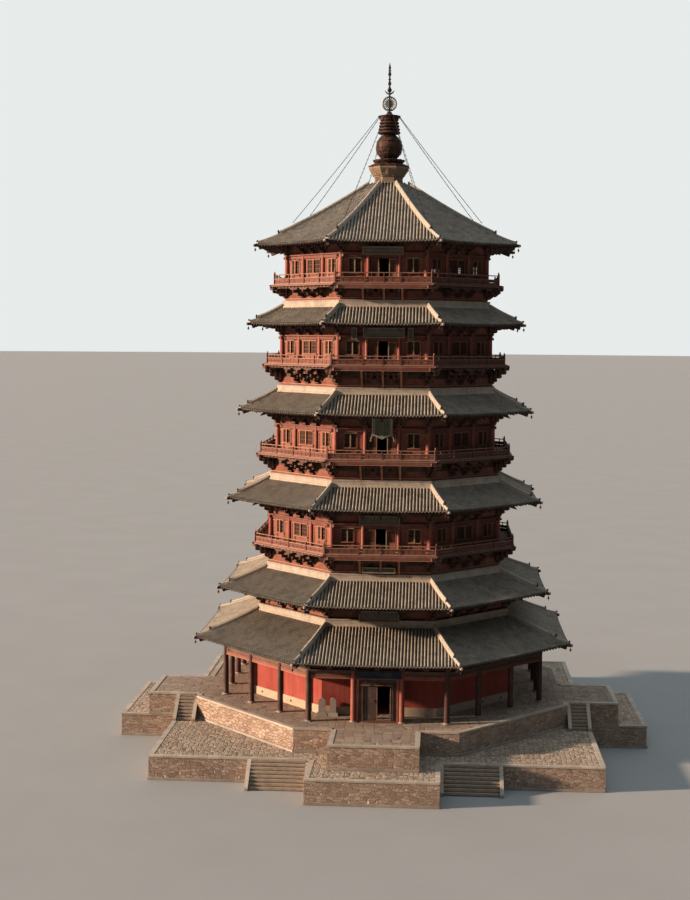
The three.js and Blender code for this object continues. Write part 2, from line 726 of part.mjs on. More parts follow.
// The mast above the canopy carries a flaming disc, a crescent, a knob and two beads
function crest() {
  const spikeFoot = FINIAL_TIP - SPIKE_HEIGHT;
  const mast = column(0, 0, MAST_RADIUS, CANOPY_TOP, spikeFoot + SPIKE_LAP);
  const spike = new THREE.ConeGeometry(metres(MAST_RADIUS * 1.6), metres(SPIKE_HEIGHT), 8);
  spike.rotateX(Math.PI / 2).translate(0, 0, metres(FINIAL_TIP - SPIKE_HEIGHT / 2));
  const disc = new THREE.TorusGeometry(metres(DISC_RADIUS), metres(DISC_TUBE), 5, 12);
  disc.rotateX(Math.PI / 2).translate(0, 0, metres(DISC_HEIGHT));
  const spoke = block(
    -DISC_RADIUS, DISC_RADIUS, -SPOKE_HALF, SPOKE_HALF,
    DISC_HEIGHT - SPOKE_HALF, DISC_HEIGHT + SPOKE_HALF,
  );
  const crescent = new THREE.ExtrudeGeometry(crescentShape(), {
    depth: metres(CRESCENT_THICKNESS),
    bevelEnabled: false,
    curveSegments: 8,
  });
  crescent.translate(0, 0, -metres(CRESCENT_THICKNESS / 2)).rotateX(Math.PI / 2);
  crescent.translate(0, 0, metres(CRESCENT_HEIGHT));
  const beads = [[64.6, 0.22], [65.22, 0.17], [66.15, 0.17]].map(([z, radius]) => (
    new THREE.SphereGeometry(metres(radius), 8, 5).rotateX(Math.PI / 2).translate(0, 0, metres(z))
  ));
  return geometryOf(joined([mast, spike, disc, spoke, crescent, ...beads]));
}

add("finial_crest", crest(), "iron");

// Eight iron stays run from a collar on the canopy's rim to the hips of the top roof
const COLLAR_INNER = 0.8;
const COLLAR_OUTER = 1.14;
const COLLAR_HEIGHT = 0.1;

function hipHeight(distance) {
  const roof = ROOFS[5];
  const rows = TOP_ROWS.map((t) => tileRow(roof, roof.apex, TOP_START, t));
  const reach = (row) => row.apothem * TO_CORNER + row.sweep;
  const above = rows.findLast((row) => reach(row) <= distance);
  const below = rows.find((row) => reach(row) > distance);
  const share = (distance - reach(above)) / (reach(below) - reach(above));
  const height = (row) => row.z + row.lift + row.crest;
  return height(above) + (height(below) - height(above)) * share;
}

function stays() {
  const collarTop = RIM_TOP + COLLAR_HEIGHT;
  const collar = ringTurned([
    [COLLAR_INNER, RIM_TOP], [COLLAR_OUTER, RIM_TOP],
    [COLLAR_OUTER, collarTop], [COLLAR_INNER, collarTop],
  ]);
  const rods = [];
  const anchor = COLLAR_OUTER - STAY_RADIUS * 1.5;
  const top = new THREE.Vector3(metres(anchor), 0, metres(RIM_TOP + COLLAR_HEIGHT / 2));
  const bottomZ = hipHeight(STAY_FOOT) + STAY_RADIUS * 2.2;
  const bottom = new THREE.Vector3(metres(STAY_FOOT), 0, metres(bottomZ));
  for (let face = 0; face < SIDES; face += 1) {
    const length = top.distanceTo(bottom);
    const rod = new THREE.CylinderGeometry(metres(STAY_RADIUS), metres(STAY_RADIUS), length, 4);
    rod.translate(0, length / 2, 0);
    const along = bottom.clone().sub(top).normalize();
    rod.applyQuaternion(new THREE.Quaternion().setFromUnitVectors(new THREE.Vector3(0, 1, 0), along));
    rod.translate(top.x, top.y, top.z);
    rods.push(rod.rotateZ(cornerAngle(face)));
  }
  return geometryOf(joined([collar, ...rods]));
}

add("finial_stays", stays(), "iron");

export default group;
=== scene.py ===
# %% [markdown]
# # An octagonal timber pagoda
# This notebook dresses a packed half-size model of a timber pagoda: clay tiles, bracket sets, lattice
# windows, railings, a walled terrace base and an iron finial. The solids of the model are the frame.
# Some stay and only get a finish. The others are hidden, and a more detailed piece stands in the same
# place. Nothing here changes the size of the model.

# %% Load the frame
import math
import random

import bpy
import numpy as np
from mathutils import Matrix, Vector


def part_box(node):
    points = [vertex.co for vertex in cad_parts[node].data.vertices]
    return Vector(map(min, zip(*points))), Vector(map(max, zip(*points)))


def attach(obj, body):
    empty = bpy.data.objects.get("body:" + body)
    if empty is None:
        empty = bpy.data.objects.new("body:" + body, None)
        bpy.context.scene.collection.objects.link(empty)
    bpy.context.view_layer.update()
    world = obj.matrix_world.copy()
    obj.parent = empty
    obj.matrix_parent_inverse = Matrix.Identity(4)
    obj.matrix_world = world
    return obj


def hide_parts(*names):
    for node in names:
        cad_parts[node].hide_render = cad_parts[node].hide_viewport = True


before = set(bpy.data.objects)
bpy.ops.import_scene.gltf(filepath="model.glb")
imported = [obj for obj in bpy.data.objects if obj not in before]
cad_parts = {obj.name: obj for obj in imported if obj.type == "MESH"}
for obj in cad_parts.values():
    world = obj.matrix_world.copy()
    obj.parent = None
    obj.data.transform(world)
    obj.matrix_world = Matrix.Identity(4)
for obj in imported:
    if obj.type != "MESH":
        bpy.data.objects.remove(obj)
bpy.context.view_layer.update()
print("frame:", len(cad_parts), "nodes")

# %% [markdown]
# ## Working in real metres
# The real tower is 67 m tall and the model is half that. It is easier to think in the real building's
# metres, so every size below is a real one, and a piece is scaled only when its mesh is made. The plan
# is a regular octagon, which is fixed by its apothem: the distance from the axis to the middle of a side.

# %% Scale and plan
SCALE = 0.5
SIDES = 8
TURN = 2 * math.pi / SIDES
HALF_SIDE = math.tan(TURN / 2)
TO_CORNER = 1 / math.cos(TURN / 2)


def half_width(node):
    """The real distance from the axis to the node's east face."""
    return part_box(node)[1].x / SCALE


def top_of(node):
    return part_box(node)[1].z / SCALE


def foot_of(node):
    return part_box(node)[0].z / SCALE


LOWER_TOP = top_of("lower_platform")
UPPER_TOP = top_of("upper_platform")
print("lower platform", round(LOWER_TOP, 2), "m high, upper platform", round(UPPER_TOP, 2), "m")

# %% [markdown]
# Each storey and each roof is described by a few planes and heights. The frame gives the floors, the
# decks and the tops. The wall planes, ridges and seats under the eaves are this building's own values.

# %% Storeys and roofs
GROUND_WALL = 13.0
WALLS = {1: 12.05, 2: 11.3, 3: 10.66, 4: 10.28, 5: 9.84}
SEATS = {0: 11.0, 1: 16.4, 2: 25.4, 3: 34.1, 4: 42.34, 5: 49.9}
RIDGES = {0: 12.4, 1: 11.62, 2: 11.4, 3: 10.72, 4: 10.18}
EAVES = {0: 18.1, 1: 15.95, 2: 15.05, 3: 14.05, 4: 13.18, 5: 12.55}
EAVE_FEET = {0: 10.28, 1: 15.16, 2: 24.0, 3: 32.74, 4: 41.14, 5: 48.8}
ROOF_NODES = {0: "verandah_roof", **{n: f"roof_{n}" for n in range(1, 6)}}
RIDGE_WIDTH = 0.35
RIDGE_HEIGHT = 0.66
VERANDAH_PLANE = 15.48
STAND_THICKNESS = 0.36
BAY_SHARE = 0.36
POST_RISE = 0.3
TOP_START = 1.67
TOP_APEX = 55.3


class Roof:
    """One roof: where its tiles start and end, and the wall that carries it."""

    def __init__(self, number):
        self.number = number
        self.node = ROOF_NODES[number]
        self.eave = EAVES[number]
        self.eave_foot = EAVE_FEET[number]
        self.seat = SEATS[number]
        self.wall = WALLS.get(number, VERANDAH_PLANE + 0.3)
        self.is_top = number == 5
        self.ridge = TOP_START if self.is_top else RIDGES[number]
        self.ridge_top = TOP_APEX if self.is_top else top_of(self.node)
        self.tile_top = TOP_APEX if self.is_top else self.ridge_top - RIDGE_HEIGHT


class Storey:
    """One upper storey: its floor, wall, balcony edge and railing."""

    def __init__(self, number):
        self.number = number
        self.floor = foot_of(f"storey_wall_{number}")
        self.wall = WALLS[number]
        self.wall_top = top_of(f"storey_wall_{number}")
        self.deck = half_width(f"balcony_{number}")
        self.rail = half_width(f"railing_{number}")
        self.rail_top = top_of(f"railing_{number}") - POST_RISE
        self.stand = RIDGES[number - 1] - RIDGE_WIDTH
        self.below = ROOFS[number - 1]


ROOFS = {number: Roof(number) for number in range(6)}
STOREYS = {number: Storey(number) for number in range(2, 6)}
for storey in STOREYS.values():
    print("storey", storey.number, "floor", round(storey.floor, 2), "deck", round(storey.deck, 2))

# %% [markdown]
# ## Camera and light
# The picture was taken from the air, about 140 m south of the tower and 40 m up, with a slightly long
# lens. The tower stands right of the picture's middle, so the camera looks a little to its left. A low
# sun lamp in the west gives the raking light that makes every tile rib show. The sky fills the shade
# only weakly, and is paler towards the north, where it serves as the backdrop.

# %% Camera
CAMERA_PLACE = Vector((5.32, -142.5, 39.83))
HEADING = math.radians(3.86)
PITCH = math.radians(4.57)
ROLL = math.radians(-0.42)
FOCAL_PIXELS = 1400
IMAGE_HEIGHT = 900

camera_data = bpy.data.cameras.new("camera")
camera_data.lens = FOCAL_PIXELS / IMAGE_HEIGHT * camera_data.sensor_width
camera_data.clip_end = 4000
camera = bpy.data.objects.new("camera", camera_data)
bpy.context.scene.collection.objects.link(camera)
camera.location = CAMERA_PLACE * SCALE
camera.rotation_euler = (math.pi / 2 - PITCH, ROLL, HEADING)
bpy.context.scene.camera = camera
print("camera at", [round(value, 2) for value in camera.location], "lens", round(camera_data.lens, 1))

# %% Light
SUN_BEARING = math.radians(192)
SUN_HEIGHT = math.radians(15)
SUN_STRENGTH = 8.5
SUN_COLOUR = (1.0, 0.79, 0.62)
LOW_SKY = (0.02, 0.022, 0.025)
HIGH_SKY = (0.68, 0.80, 0.90)
BACK_SKY = (0.83, 0.86, 0.855)

sun_data = bpy.data.lights.new("sun", "SUN")
sun_data.energy = SUN_STRENGTH
sun_data.color = SUN_COLOUR
sun_data.angle = math.radians(2.5)
sun = bpy.data.objects.new("sun", sun_data)
bpy.context.scene.collection.objects.link(sun)
to_sun = Vector((
    math.cos(SUN_BEARING) * math.cos(SUN_HEIGHT),
    math.sin(SUN_BEARING) * math.cos(SUN_HEIGHT),
    math.sin(SUN_HEIGHT),
))
sun.rotation_euler = to_sun.to_track_quat("Z", "Y").to_euler()

sky = bpy.data.worlds.new("sky")
sky.use_nodes = True
sky_tree = sky.node_tree


def sky_node(kind, links, **settings):
    node = sky_tree.nodes.new("ShaderNode" + kind)
    for name, value in settings.items():
        setattr(node, name, value)
    for socket, source in links.items():
        if hasattr(source, "node"):
            sky_tree.links.new(source, node.inputs[socket])
        else:
            node.inputs[socket].default_value = source
    return node.outputs


def sky_blend(share, first, second):
    """Shades from one sky colour to another."""
    return sky_node("MixRGB", {"Fac": share, "Color1": first, "Color2": second})["Color"]


way = sky_node("SeparateXYZ", {"Vector": sky_node("TexCoord", {})["Generated"]})
up = sky_node("MapRange", {"Value": way["Z"], "From Min": 0.2, "From Max": 0.85})["Result"]
north = sky_node("MapRange", {"Value": way["Y"], "From Min": 0.35, "From Max": 0.8})["Result"]
dome = sky_blend(up, (*LOW_SKY, 1), (*HIGH_SKY, 1))
sky_tree.links.new(sky_blend(north, dome, (*BACK_SKY, 1)), sky_tree.nodes["Background"].inputs["Color"])
bpy.context.scene.world = sky
bpy.context.scene.view_settings.view_transform = "Standard"
bpy.context.scene.view_settings.gamma = 0.85
print("sun from", [round(value, 2) for value in to_sun])

# %% [markdown]
# ## Shader maths
# A finish is a small calculation: this much dust here, that much wear there. Blender builds it from
# nodes, which are hard to read in a script. So one class wraps a node's output, and its operators add
# the Math nodes. Another class makes any other node and holds the material.

# %% A socket that can be reckoned with
class Value:
    """A node's output. Ordinary operators on it add Math nodes."""

    def __init__(self, paint, output):
        self.paint = paint
        self.output = output

    def reckon(self, operation, *others):
        sockets = dict(enumerate((self, *others)))
        return self.paint.node("Math", {"operation": operation}, sockets)

    def __add__(self, other):
        return self.reckon("ADD", other)

    def __sub__(self, other):
        return self.reckon("SUBTRACT", other)

    def __mul__(self, other):
        return self.reckon("MULTIPLY", other)

    def __truediv__(self, other):
        return self.reckon("DIVIDE", other)

    def __rsub__(self, other):
        return self.paint.node("Math", {"operation": "SUBTRACT"}, {0: other, 1: self})

    __radd__ = __add__
    __rmul__ = __mul__

    def within(self, low, high):
        """0 up to low, 1 from high on, and a straight slope between."""
        spread = {"From Min": low, "From Max": high, "Value": self}
        return self.paint.node("MapRange", {"clamp": True}, spread)


# %% A material with short ways to its nodes
class Paint:
    """A material, and the nodes that its finish is made of."""

    def __init__(self, name):
        self.material = bpy.data.materials.new(name)
        self.material.use_nodes = True
        self.tree = self.material.node_tree
        self.tree.nodes.clear()

    def node(self, kind, settings=None, sockets=None, output=0):
        """A node of this kind, with its settings, then its sockets' values or links."""
        node = self.tree.nodes.new("ShaderNode" + kind)
        for name, value in (settings or {}).items():
            setattr(node, name, value)
        for name, value in (sockets or {}).items():
            self.fill(self.socket(node.inputs, name), value)
        return Value(self, self.socket(node.outputs, output)) if node.outputs else node

    @staticmethod
    def socket(sockets, name):
        shown = [socket for socket in sockets if socket.enabled]
        if isinstance(name, int):
            return shown[name]
        return next(socket for socket in shown if socket.name == name)

    def fill(self, socket, value):
        if isinstance(value, Value):
            self.tree.links.new(value.output, socket)
        elif isinstance(value, tuple) and len(value) == 3 and socket.type == "RGBA":
            socket.default_value = (*value, 1)
        else:
            socket.default_value = value

    def place(self, stretch=(1, 1, 1)):
        """The place on the object in real metres, stretched along its axes."""
        place = self.node("TexCoord", output="Object")
        factors = tuple(axis / SCALE for axis in stretch)
        return self.node("VectorMath", {"operation": "MULTIPLY"}, {0: place, 1: factors})

    def grain_place(self, along, across):
        """The place on a part's own face, in real metres, stretched along and across the part."""
        place = self.node("UVMap", {"uv_map": "part"})
        factors = (along, across, 1)
        return self.node("VectorMath", {"operation": "MULTIPLY"}, {0: place, 1: factors})

    def noise(self, place, size, detail=4, roughness=0.55, warp=0):
        """Cloudy noise between 0 and 1, whose patches are about this size."""
        sockets = {"Vector": place, "Scale": 1 / size, "Detail": detail, "Roughness": roughness}
        return self.node("TexNoise", None, {**sockets, "Distortion": warp})

    def cloud(self, size, **settings):
        """Noise that runs through the whole object alike."""
        return self.noise(self.place(), size, **settings)

    def cell_edge(self, sockets):
        """How far a point lies from the edge of its cell in a Voronoi pattern."""
        return self.node("TexVoronoi", {"feature": "DISTANCE_TO_EDGE"}, sockets, "Distance")

    def axis(self, vector, name):
        return self.node("SeparateXYZ", None, {"Vector": vector}, name)

    def red(self, colour):
        return self.node("SeparateColor", None, {"Color": colour}, "Red")

    def random(self, number):
        """A number between 0 and 1 that belongs to a whole number."""
        return self.node("TexWhiteNoise", {"noise_dimensions": "1D"}, {"W": number}, "Value")

    def mix(self, share, first, second):
        return self.node("Mix", {"data_type": "RGBA"}, {"Factor": share, "A": first, "B": second})

    def bump(self, height, distance):
        """Relief, whose height is in real metres."""
        return self.node("Bump", None, {"Height": height, "Distance": distance * SCALE, "Strength": 1.0})

    def finish(self, colour, roughness, normal=None, **constants):
        """The shader itself. Constants go straight to its sockets."""
        sockets = {"Base Color": colour, "Roughness": roughness, **constants}
        if normal is not None:
            sockets["Normal"] = normal
        surface = self.node("BsdfPrincipled", None, sockets)
        self.node("OutputMaterial", None, {"Surface": surface})
        return self.material

# %% [markdown]
# ## Timber
# Every beam, column and bracket on this tower is old pine under thin oil paint. Three things make such
# wood believable: grain that runs along each part, a tone of its own for each part, and grey dust on
# what faces the sky. The faces turned east are also darkened, as painted shade. One recipe takes the
# two ends of its colour, and it serves columns, beams, brackets, lattice and boards.

# %% What several finishes share
DUST = (0.36, 0.29, 0.22)
PART_STRIDE = 20.0


def shade(colour, share):
    return tuple(share * value for value in colour)


def part_tone(paint):
    """A number between 0 and 1 that differs from part to part."""
    along = paint.axis(paint.node("UVMap", {"uv_map": "part"}), "X")
    return paint.random((along / PART_STRIDE).reckon("FLOOR"))


def part_place(paint):
    """How far along and across its own face a point lies, in real metres."""
    marks = paint.grain_place(1, 1)
    return paint.axis(marks, "X"), paint.axis(marks, "Y")


def sky_facing(paint, low=0.3, high=0.95):
    """0 on walls and undersides, 1 on what faces up."""
    return paint.axis(paint.node("NewGeometry", None, None, "Normal"), "Z").within(low, high)


def stripe(position, pitch, width):
    """1 in a narrow band at each pitch, 0 elsewhere."""
    phase = (position / pitch).reckon("FRACT")
    return 1 - ((phase - 0.5).reckon("ABSOLUTE") * 2).within(1 - 2 * width / pitch, 1)


FINISHES = {}


# %% Timber
def timber(name, dark, light, dust=0.5, roughness=0.72, relief=0.008):
    paint = Paint(name)
    streaks = paint.noise(paint.grain_place(1.2, 14), 1, detail=6, roughness=0.65, warp=0.4)
    patches = paint.cloud(0.9, detail=5, roughness=0.6)
    cracks = paint.noise(paint.grain_place(0.9, 26), 1, detail=3).within(0.62, 0.7)
    tone = part_tone(paint)
    colour = paint.mix(streaks.within(0.3, 0.72) * 0.6 + tone * 0.4, dark, light)
    dulled = tuple(0.6 * value + 0.4 * grey for value, grey in zip(light, DUST))
    faded = paint.mix(patches.within(0.45, 0.8) * 0.55, colour, dulled)
    # Painted shade: faces turned east are darkened halfway towards a deep tone of the wood.
    eastward = paint.axis(paint.node("TexCoord", None, None, "Normal"), "X")
    east_painted_shade = paint.mix(eastward.within(0.15, 0.7) * 0.5, faded, shade(dark, 0.35))
    split = paint.mix(cracks * 0.7, east_painted_shade, shade(dark, 0.3))
    dusty = paint.mix(sky_facing(paint) * (patches * 0.6 + 0.5) * dust, split, DUST)
    normal = paint.bump(streaks - cracks * 0.8, relief)
    FINISHES[name] = paint.finish(dusty, patches * 0.2 + (roughness - 0.1), normal)


timber("red_column", (0.235, 0.058, 0.04), (0.41, 0.14, 0.095), dust=0.4)
timber("red_beam", (0.12, 0.037, 0.025), (0.25, 0.083, 0.055))
timber("wall_panel", (0.165, 0.05, 0.032), (0.35, 0.125, 0.08), dust=0.3)
timber("wall_frame", (0.26, 0.10, 0.06), (0.48, 0.23, 0.14), dust=0.5)
timber("bracket_wood", (0.07, 0.029, 0.02), (0.17, 0.073, 0.048), dust=0.5)
timber("eave_wood", (0.04, 0.022, 0.017), (0.10, 0.052, 0.038))
timber("lattice_wood", (0.10, 0.04, 0.022), (0.20, 0.085, 0.048))
timber("rail_wood", (0.22, 0.10, 0.066), (0.42, 0.23, 0.155), dust=0.7)
timber("rail_board", (0.11, 0.035, 0.023), (0.23, 0.082, 0.054), dust=0.4)
timber("deck_wood", (0.20, 0.12, 0.085), (0.38, 0.25, 0.18), dust=0.9)
timber("column_wood", (0.05, 0.02, 0.015), (0.11, 0.045, 0.032))
timber("door_wood", (0.06, 0.036, 0.029), (0.13, 0.082, 0.064), relief=0.012)
timber("board_wood", (0.06, 0.053, 0.04), (0.14, 0.125, 0.095), relief=0.006)
timber("board_edge", (0.13, 0.11, 0.078), (0.25, 0.21, 0.15))
timber("board_pale", (0.28, 0.21, 0.13), (0.46, 0.37, 0.25))
timber("board_blue", (0.012, 0.022, 0.045), (0.035, 0.055, 0.09), dust=0.2)
timber("plaque_wood", (0.075, 0.08, 0.06), (0.155, 0.16, 0.118))
timber("plaque_edge", (0.25, 0.25, 0.19), (0.44, 0.43, 0.34))
print("timber finishes:", len(FINISHES))

# %% [markdown]
# ## Clay tiles and ridges
# The roofs are grey clay, laid as rows of half-round cover tiles over dished pan tiles. From afar the
# lit cover tiles and the dark channels make the stripes of the roof. The two get finishes of their own:
# dry, lichened clay with a joint at every tile, and damp, sooty clay. Beyond lichen and soot, the cover
# clay is made paler and the pan clay darker, as painted light on the ribs and painted shade in the
# channels. Away from the north and south sides, moss and bleached clay lie in larger blots. The hips are
# stacked flat tiles with pale mortar, so their courses are drawn with stripes across the part. The bands
# where a roof meets the storey above are smooth lime plaster.

# %% Tiles and ridges
LICHEN = (0.38, 0.34, 0.24)
BLEACHED = (0.52, 0.44, 0.32)
TILE_PITCH = 0.31
COLUMN_STRIDE = 37.7
COVER_LENGTH = 0.36
PAN_LENGTH = 0.22
RIDGE_COURSE = 0.13
MOSS = (0.11, 0.092, 0.066)


def clay(name, dark, light, tile_length, joint_width, damp):
    paint = Paint(name)
    along, across = part_place(paint)
    joints = stripe(along, tile_length, joint_width)
    row = (along / tile_length).reckon("FLOOR")
    column = (across / TILE_PITCH).reckon("FLOOR")
    each = paint.random(row + column * COLUMN_STRIDE)
    patches = paint.cloud(1.7, detail=7, roughness=0.62)
    specks = paint.cloud(0.12, detail=3).within(0.5, 0.75)
    colour = paint.mix(each * 0.4 + patches.within(0.4, 0.62) * 0.6, dark, light)
    lichen = paint.mix(specks * patches.within(0.5, 0.65) * 0.6, colour, LICHEN)
    moss = paint.cloud(0.8, detail=9, roughness=0.72).within(0.48, 0.62)
    grown = paint.mix(moss * 0.8, lichen, MOSS)
    x, y = (paint.axis(paint.place(), axis).reckon("ABSOLUTE") for axis in "XY")
    aside = (x - y * HALF_SIDE).within(0, 0.6)
    blots = paint.cloud(1.5, detail=8, roughness=0.7)
    blotted = paint.mix(blots.within(0.5, 0.6) * aside * 0.4, grown, MOSS)
    bleached = paint.mix((1 - blots.within(0.4, 0.5)) * aside * 0.5, blotted, BLEACHED)
    soot = paint.mix(joints * 0.75, bleached, shade(dark, damp))
    relief = specks * 0.3 + patches * 0.5 - joints * 1.5 + each * 0.3
    FINISHES[name] = paint.finish(soot, patches * 0.15 + 0.72, paint.bump(relief, 0.02))


# The cover clay is far paler than the pan clay: partly lichen and soot, partly painted light on the ribs and
# painted shade in the channels.
clay("cover_tile", (0.52, 0.43, 0.335), (0.92, 0.80, 0.64), COVER_LENGTH, 0.018, 0.4)
clay("pan_tile", (0.15, 0.118, 0.088), (0.34, 0.278, 0.21), PAN_LENGTH, 0.02, 0.3)


def ridge_stack(name, dark, light, mortar):
    paint = Paint(name)
    along, across = part_place(paint)
    courses = stripe(across, RIDGE_COURSE, 0.014)
    ends = stripe(along, 0.33, 0.012)
    patches = paint.cloud(0.8, detail=6, roughness=0.65)
    stains = paint.noise(paint.place((1.4, 1.4, 0.35)), 0.6, detail=4)
    colour = paint.mix(patches.within(0.3, 0.7), dark, light)
    mortared = paint.mix(courses * 0.75 + ends * 0.2, colour, mortar)
    stained = paint.mix(stains.within(0.55, 0.8) * 0.6, mortared, shade(dark, 0.45))
    normal = paint.bump(patches * 0.5 - courses - ends * 0.5, 0.02)
    FINISHES[name] = paint.finish(stained, 0.85, normal)


ridge_stack("hip_clay", (0.25, 0.21, 0.165), (0.46, 0.39, 0.305), (0.48, 0.41, 0.33))
ridge_stack("beast_clay", (0.10, 0.085, 0.07), (0.22, 0.18, 0.14), (0.08, 0.07, 0.06))


def plaster(name, dark, light, stain):
    """Hand-laid lime plaster: soft swells, a few hair cracks and rain stains that run down."""
    paint = Paint(name)
    swells = paint.cloud(1.1, detail=7, roughness=0.6)
    fine = paint.cloud(0.11, detail=5, roughness=0.6)
    runs = paint.noise(paint.place((3.2, 3.2, 0.4)), 0.9, detail=4).within(0.52, 0.78)
    cell = {"Vector": paint.place(), "Scale": 1.6}
    edges = paint.cell_edge(cell)
    cracks = 1 - edges.within(0.0, 0.012)
    colour = paint.mix(swells.within(0.3, 0.7) * 0.7 + fine * 0.3, dark, light)
    stained = paint.mix(runs * 0.55, colour, stain)
    cracked = paint.mix(cracks * 0.5, stained, shade(stain, 0.4))
    normal = paint.bump(swells + fine * 0.4 - cracks * 0.6, 0.018)
    FINISHES[name] = paint.finish(cracked, 0.9, normal)


plaster("ridge_plaster", (0.31, 0.255, 0.205), (0.48, 0.405, 0.33), (0.19, 0.155, 0.12))
plaster("bracket_panel", (0.165, 0.06, 0.04), (0.32, 0.135, 0.088), (0.10, 0.04, 0.028))

# %% [markdown]
# ## Walls, stone and brick
# The ground wall is limewashed red over earth, with rain streaks and worn patches, and stands on a bare
# brick footing. The base has rough stone walls, squared pale kerbs and worn brick paving. Bricks come
# from Blender's Brick Texture on the part's own map, because real courses follow the wall. Rubble comes
# from Voronoi cells in space, because rubble has no courses.

# %% Limewash
def limewash(name):
    paint = Paint(name)
    patches = paint.cloud(2.2, detail=8, roughness=0.6)
    streaks = paint.noise(paint.place((2.2, 2.2, 0.16)), 0.9, detail=5)
    fine = paint.cloud(0.15, detail=5)
    colour = paint.mix(patches.within(0.3, 0.7), (0.27, 0.053, 0.039), (0.355, 0.09, 0.064))
    streaked = paint.mix(streaks.within(0.5, 0.75) * 0.5, colour, (0.19, 0.026, 0.022))
    worn = paint.mix(fine.within(0.62, 0.72) * patches.within(0.5, 0.65) * 0.5, streaked, (0.46, 0.22, 0.15))
    normal = paint.bump(fine * 0.4 + patches, 0.02)
    FINISHES[name] = paint.finish(worn, 0.9, normal)


limewash("limewash")


# %% Brick
def brick(name, dark, light, mortar, length=0.34, height=0.085, wear=0.5):
    paint = Paint(name)
    wobble = paint.cloud(0.5, detail=2)
    sockets = {
        "Vector": paint.grain_place(1, 1), "Color1": (0.0, 0.0, 0.0), "Color2": (1.0, 1.0, 1.0),
        "Mortar": (0.5, 0.5, 0.5), "Scale": 1.0, "Mortar Size": 0.012, "Mortar Smooth": 0.3, "Bias": 0.0,
        "Brick Width": length, "Row Height": height,
    }
    each = paint.red(paint.node("TexBrick", {"offset": 0.5}, sockets, "Color"))
    mortar_lines = paint.node("TexBrick", {"offset": 0.5}, sockets, "Fac")
    patches = paint.cloud(1.3, detail=7, roughness=0.6)
    colour = paint.mix(each * 0.6 + patches.within(0.3, 0.7) * 0.4, dark, light)
    laid = paint.mix(mortar_lines * 0.8, colour, mortar)
    dirty = paint.mix(patches.within(0.5, 0.8) * wear, laid, shade(dark, 0.45))
    relief = wobble * 0.4 + each * 0.3 - mortar_lines
    FINISHES[name] = paint.finish(dirty, 0.9, paint.bump(relief, 0.012))


brick("footing_brick", (0.38, 0.285, 0.20), (0.58, 0.46, 0.34), (0.5, 0.42, 0.32), wear=0.35)
brick("seat_brick", (0.20, 0.135, 0.085), (0.36, 0.26, 0.17), (0.3, 0.24, 0.18))
brick("stair_brick", (0.30, 0.22, 0.16), (0.48, 0.38, 0.29), (0.26, 0.21, 0.17), length=0.36, height=0.16)


# %% Stone
def stone(name, dark, light, relief=0.015):
    paint = Paint(name)
    patches = paint.cloud(0.7, detail=8, roughness=0.65)
    pits = paint.cloud(0.09, detail=4).within(0.55, 0.75)
    tone = part_tone(paint)
    colour = paint.mix(tone * 0.5 + patches.within(0.3, 0.7) * 0.5, dark, light)
    pitted = paint.mix(pits * 0.4, colour, shade(dark, 0.5))
    FINISHES[name] = paint.finish(pitted, 0.88, paint.bump(patches - pits * 0.6, relief))


stone("kerb_stone", (0.34, 0.28, 0.22), (0.54, 0.46, 0.37))
stone("base_stone", (0.24, 0.20, 0.165), (0.42, 0.36, 0.30))


def masonry(name, paving, gap, dark, light):
    """Rubble on the walls of the base and paving on top of it: worn slabs above, rough cobbles below."""
    paint = Paint(name)
    place = paint.place()
    wander = paint.noise(place, 1.6, detail=2)
    flattened = paint.place((1, 1, 1.7))
    cell = {"Vector": flattened, "Scale": 2.1, "Randomness": 0.85}
    stones = paint.node("TexVoronoi", {"feature": "F1"}, cell, "Color")
    edge = paint.cell_edge(cell)
    joints = 1 - edge.within(0.02, 0.07)
    each = paint.red(stones)
    slabs = {"Vector": paint.place((1, 1, 0)), "Scale": paving, "Randomness": 0.55}
    slab_colour = paint.node("TexVoronoi", {"feature": "F1", "distance": "CHEBYCHEV"}, slabs, "Color")
    slab_edge = paint.cell_edge(slabs)
    slab_each = paint.red(slab_colour)
    slab_joints = 1 - slab_edge.within(0.015, gap)
    top = sky_facing(paint, 0.5, 0.8)
    patches = paint.noise(place, 3.0, detail=9, roughness=0.62)
    fine = paint.noise(place, 0.16, detail=6, roughness=0.65)
    rubble = paint.mix(each * 0.7 + fine * 0.3, (0.25, 0.165, 0.12), (0.50, 0.37, 0.28))
    mortared = paint.mix(joints * 0.6, rubble, (0.54, 0.44, 0.37))
    slab = paint.mix(slab_each * 0.5 + patches.within(0.3, 0.7) * 0.5, dark, light)
    slabbed = paint.mix(slab_joints * 0.55, slab, (0.12, 0.085, 0.06))
    colour = paint.mix(top, mortared, slabbed)
    dirty = paint.mix(patches.within(0.52, 0.75) * 0.45, colour, (0.15, 0.115, 0.09))
    relief = (fine + each - joints * 1.6) * (1 - top) + (fine * 0.8 - slab_joints) * top + wander * 0.3
    FINISHES[name] = paint.finish(dirty, 0.92, paint.bump(relief, 0.05))


masonry("slab_masonry", 1.15, 0.05, (0.24, 0.175, 0.13), (0.43, 0.33, 0.25))
masonry("cobble_masonry", 2.2, 0.16, (0.22, 0.165, 0.12), (0.60, 0.47, 0.35))


# %% [markdown]
# ## Iron
# The finial, the stays, the bells and the door fittings are iron that has been out in the weather for
# centuries: nearly black scale with brown rust in patches. Rust is rough and isn't metallic, so both
# roughness and metallic follow the same mask.

# %% Iron
def iron(name, scale, rust, share):
    paint = Paint(name)
    patches = paint.cloud(0.35, detail=8, roughness=0.65)
    grit = paint.cloud(0.05, detail=4)
    mask = patches.within(0.62 - share, 0.72 - share * 0.6)
    colour = paint.mix(mask * 0.85, scale, paint.mix(grit, shade(rust, 0.5), rust))
    roughness = mask * 0.35 + 0.5
    normal = paint.bump(patches * 0.6 + grit * 0.4, 0.012)
    FINISHES[name] = paint.finish(colour, roughness, normal, Metallic=(1 - mask) * 0.7)


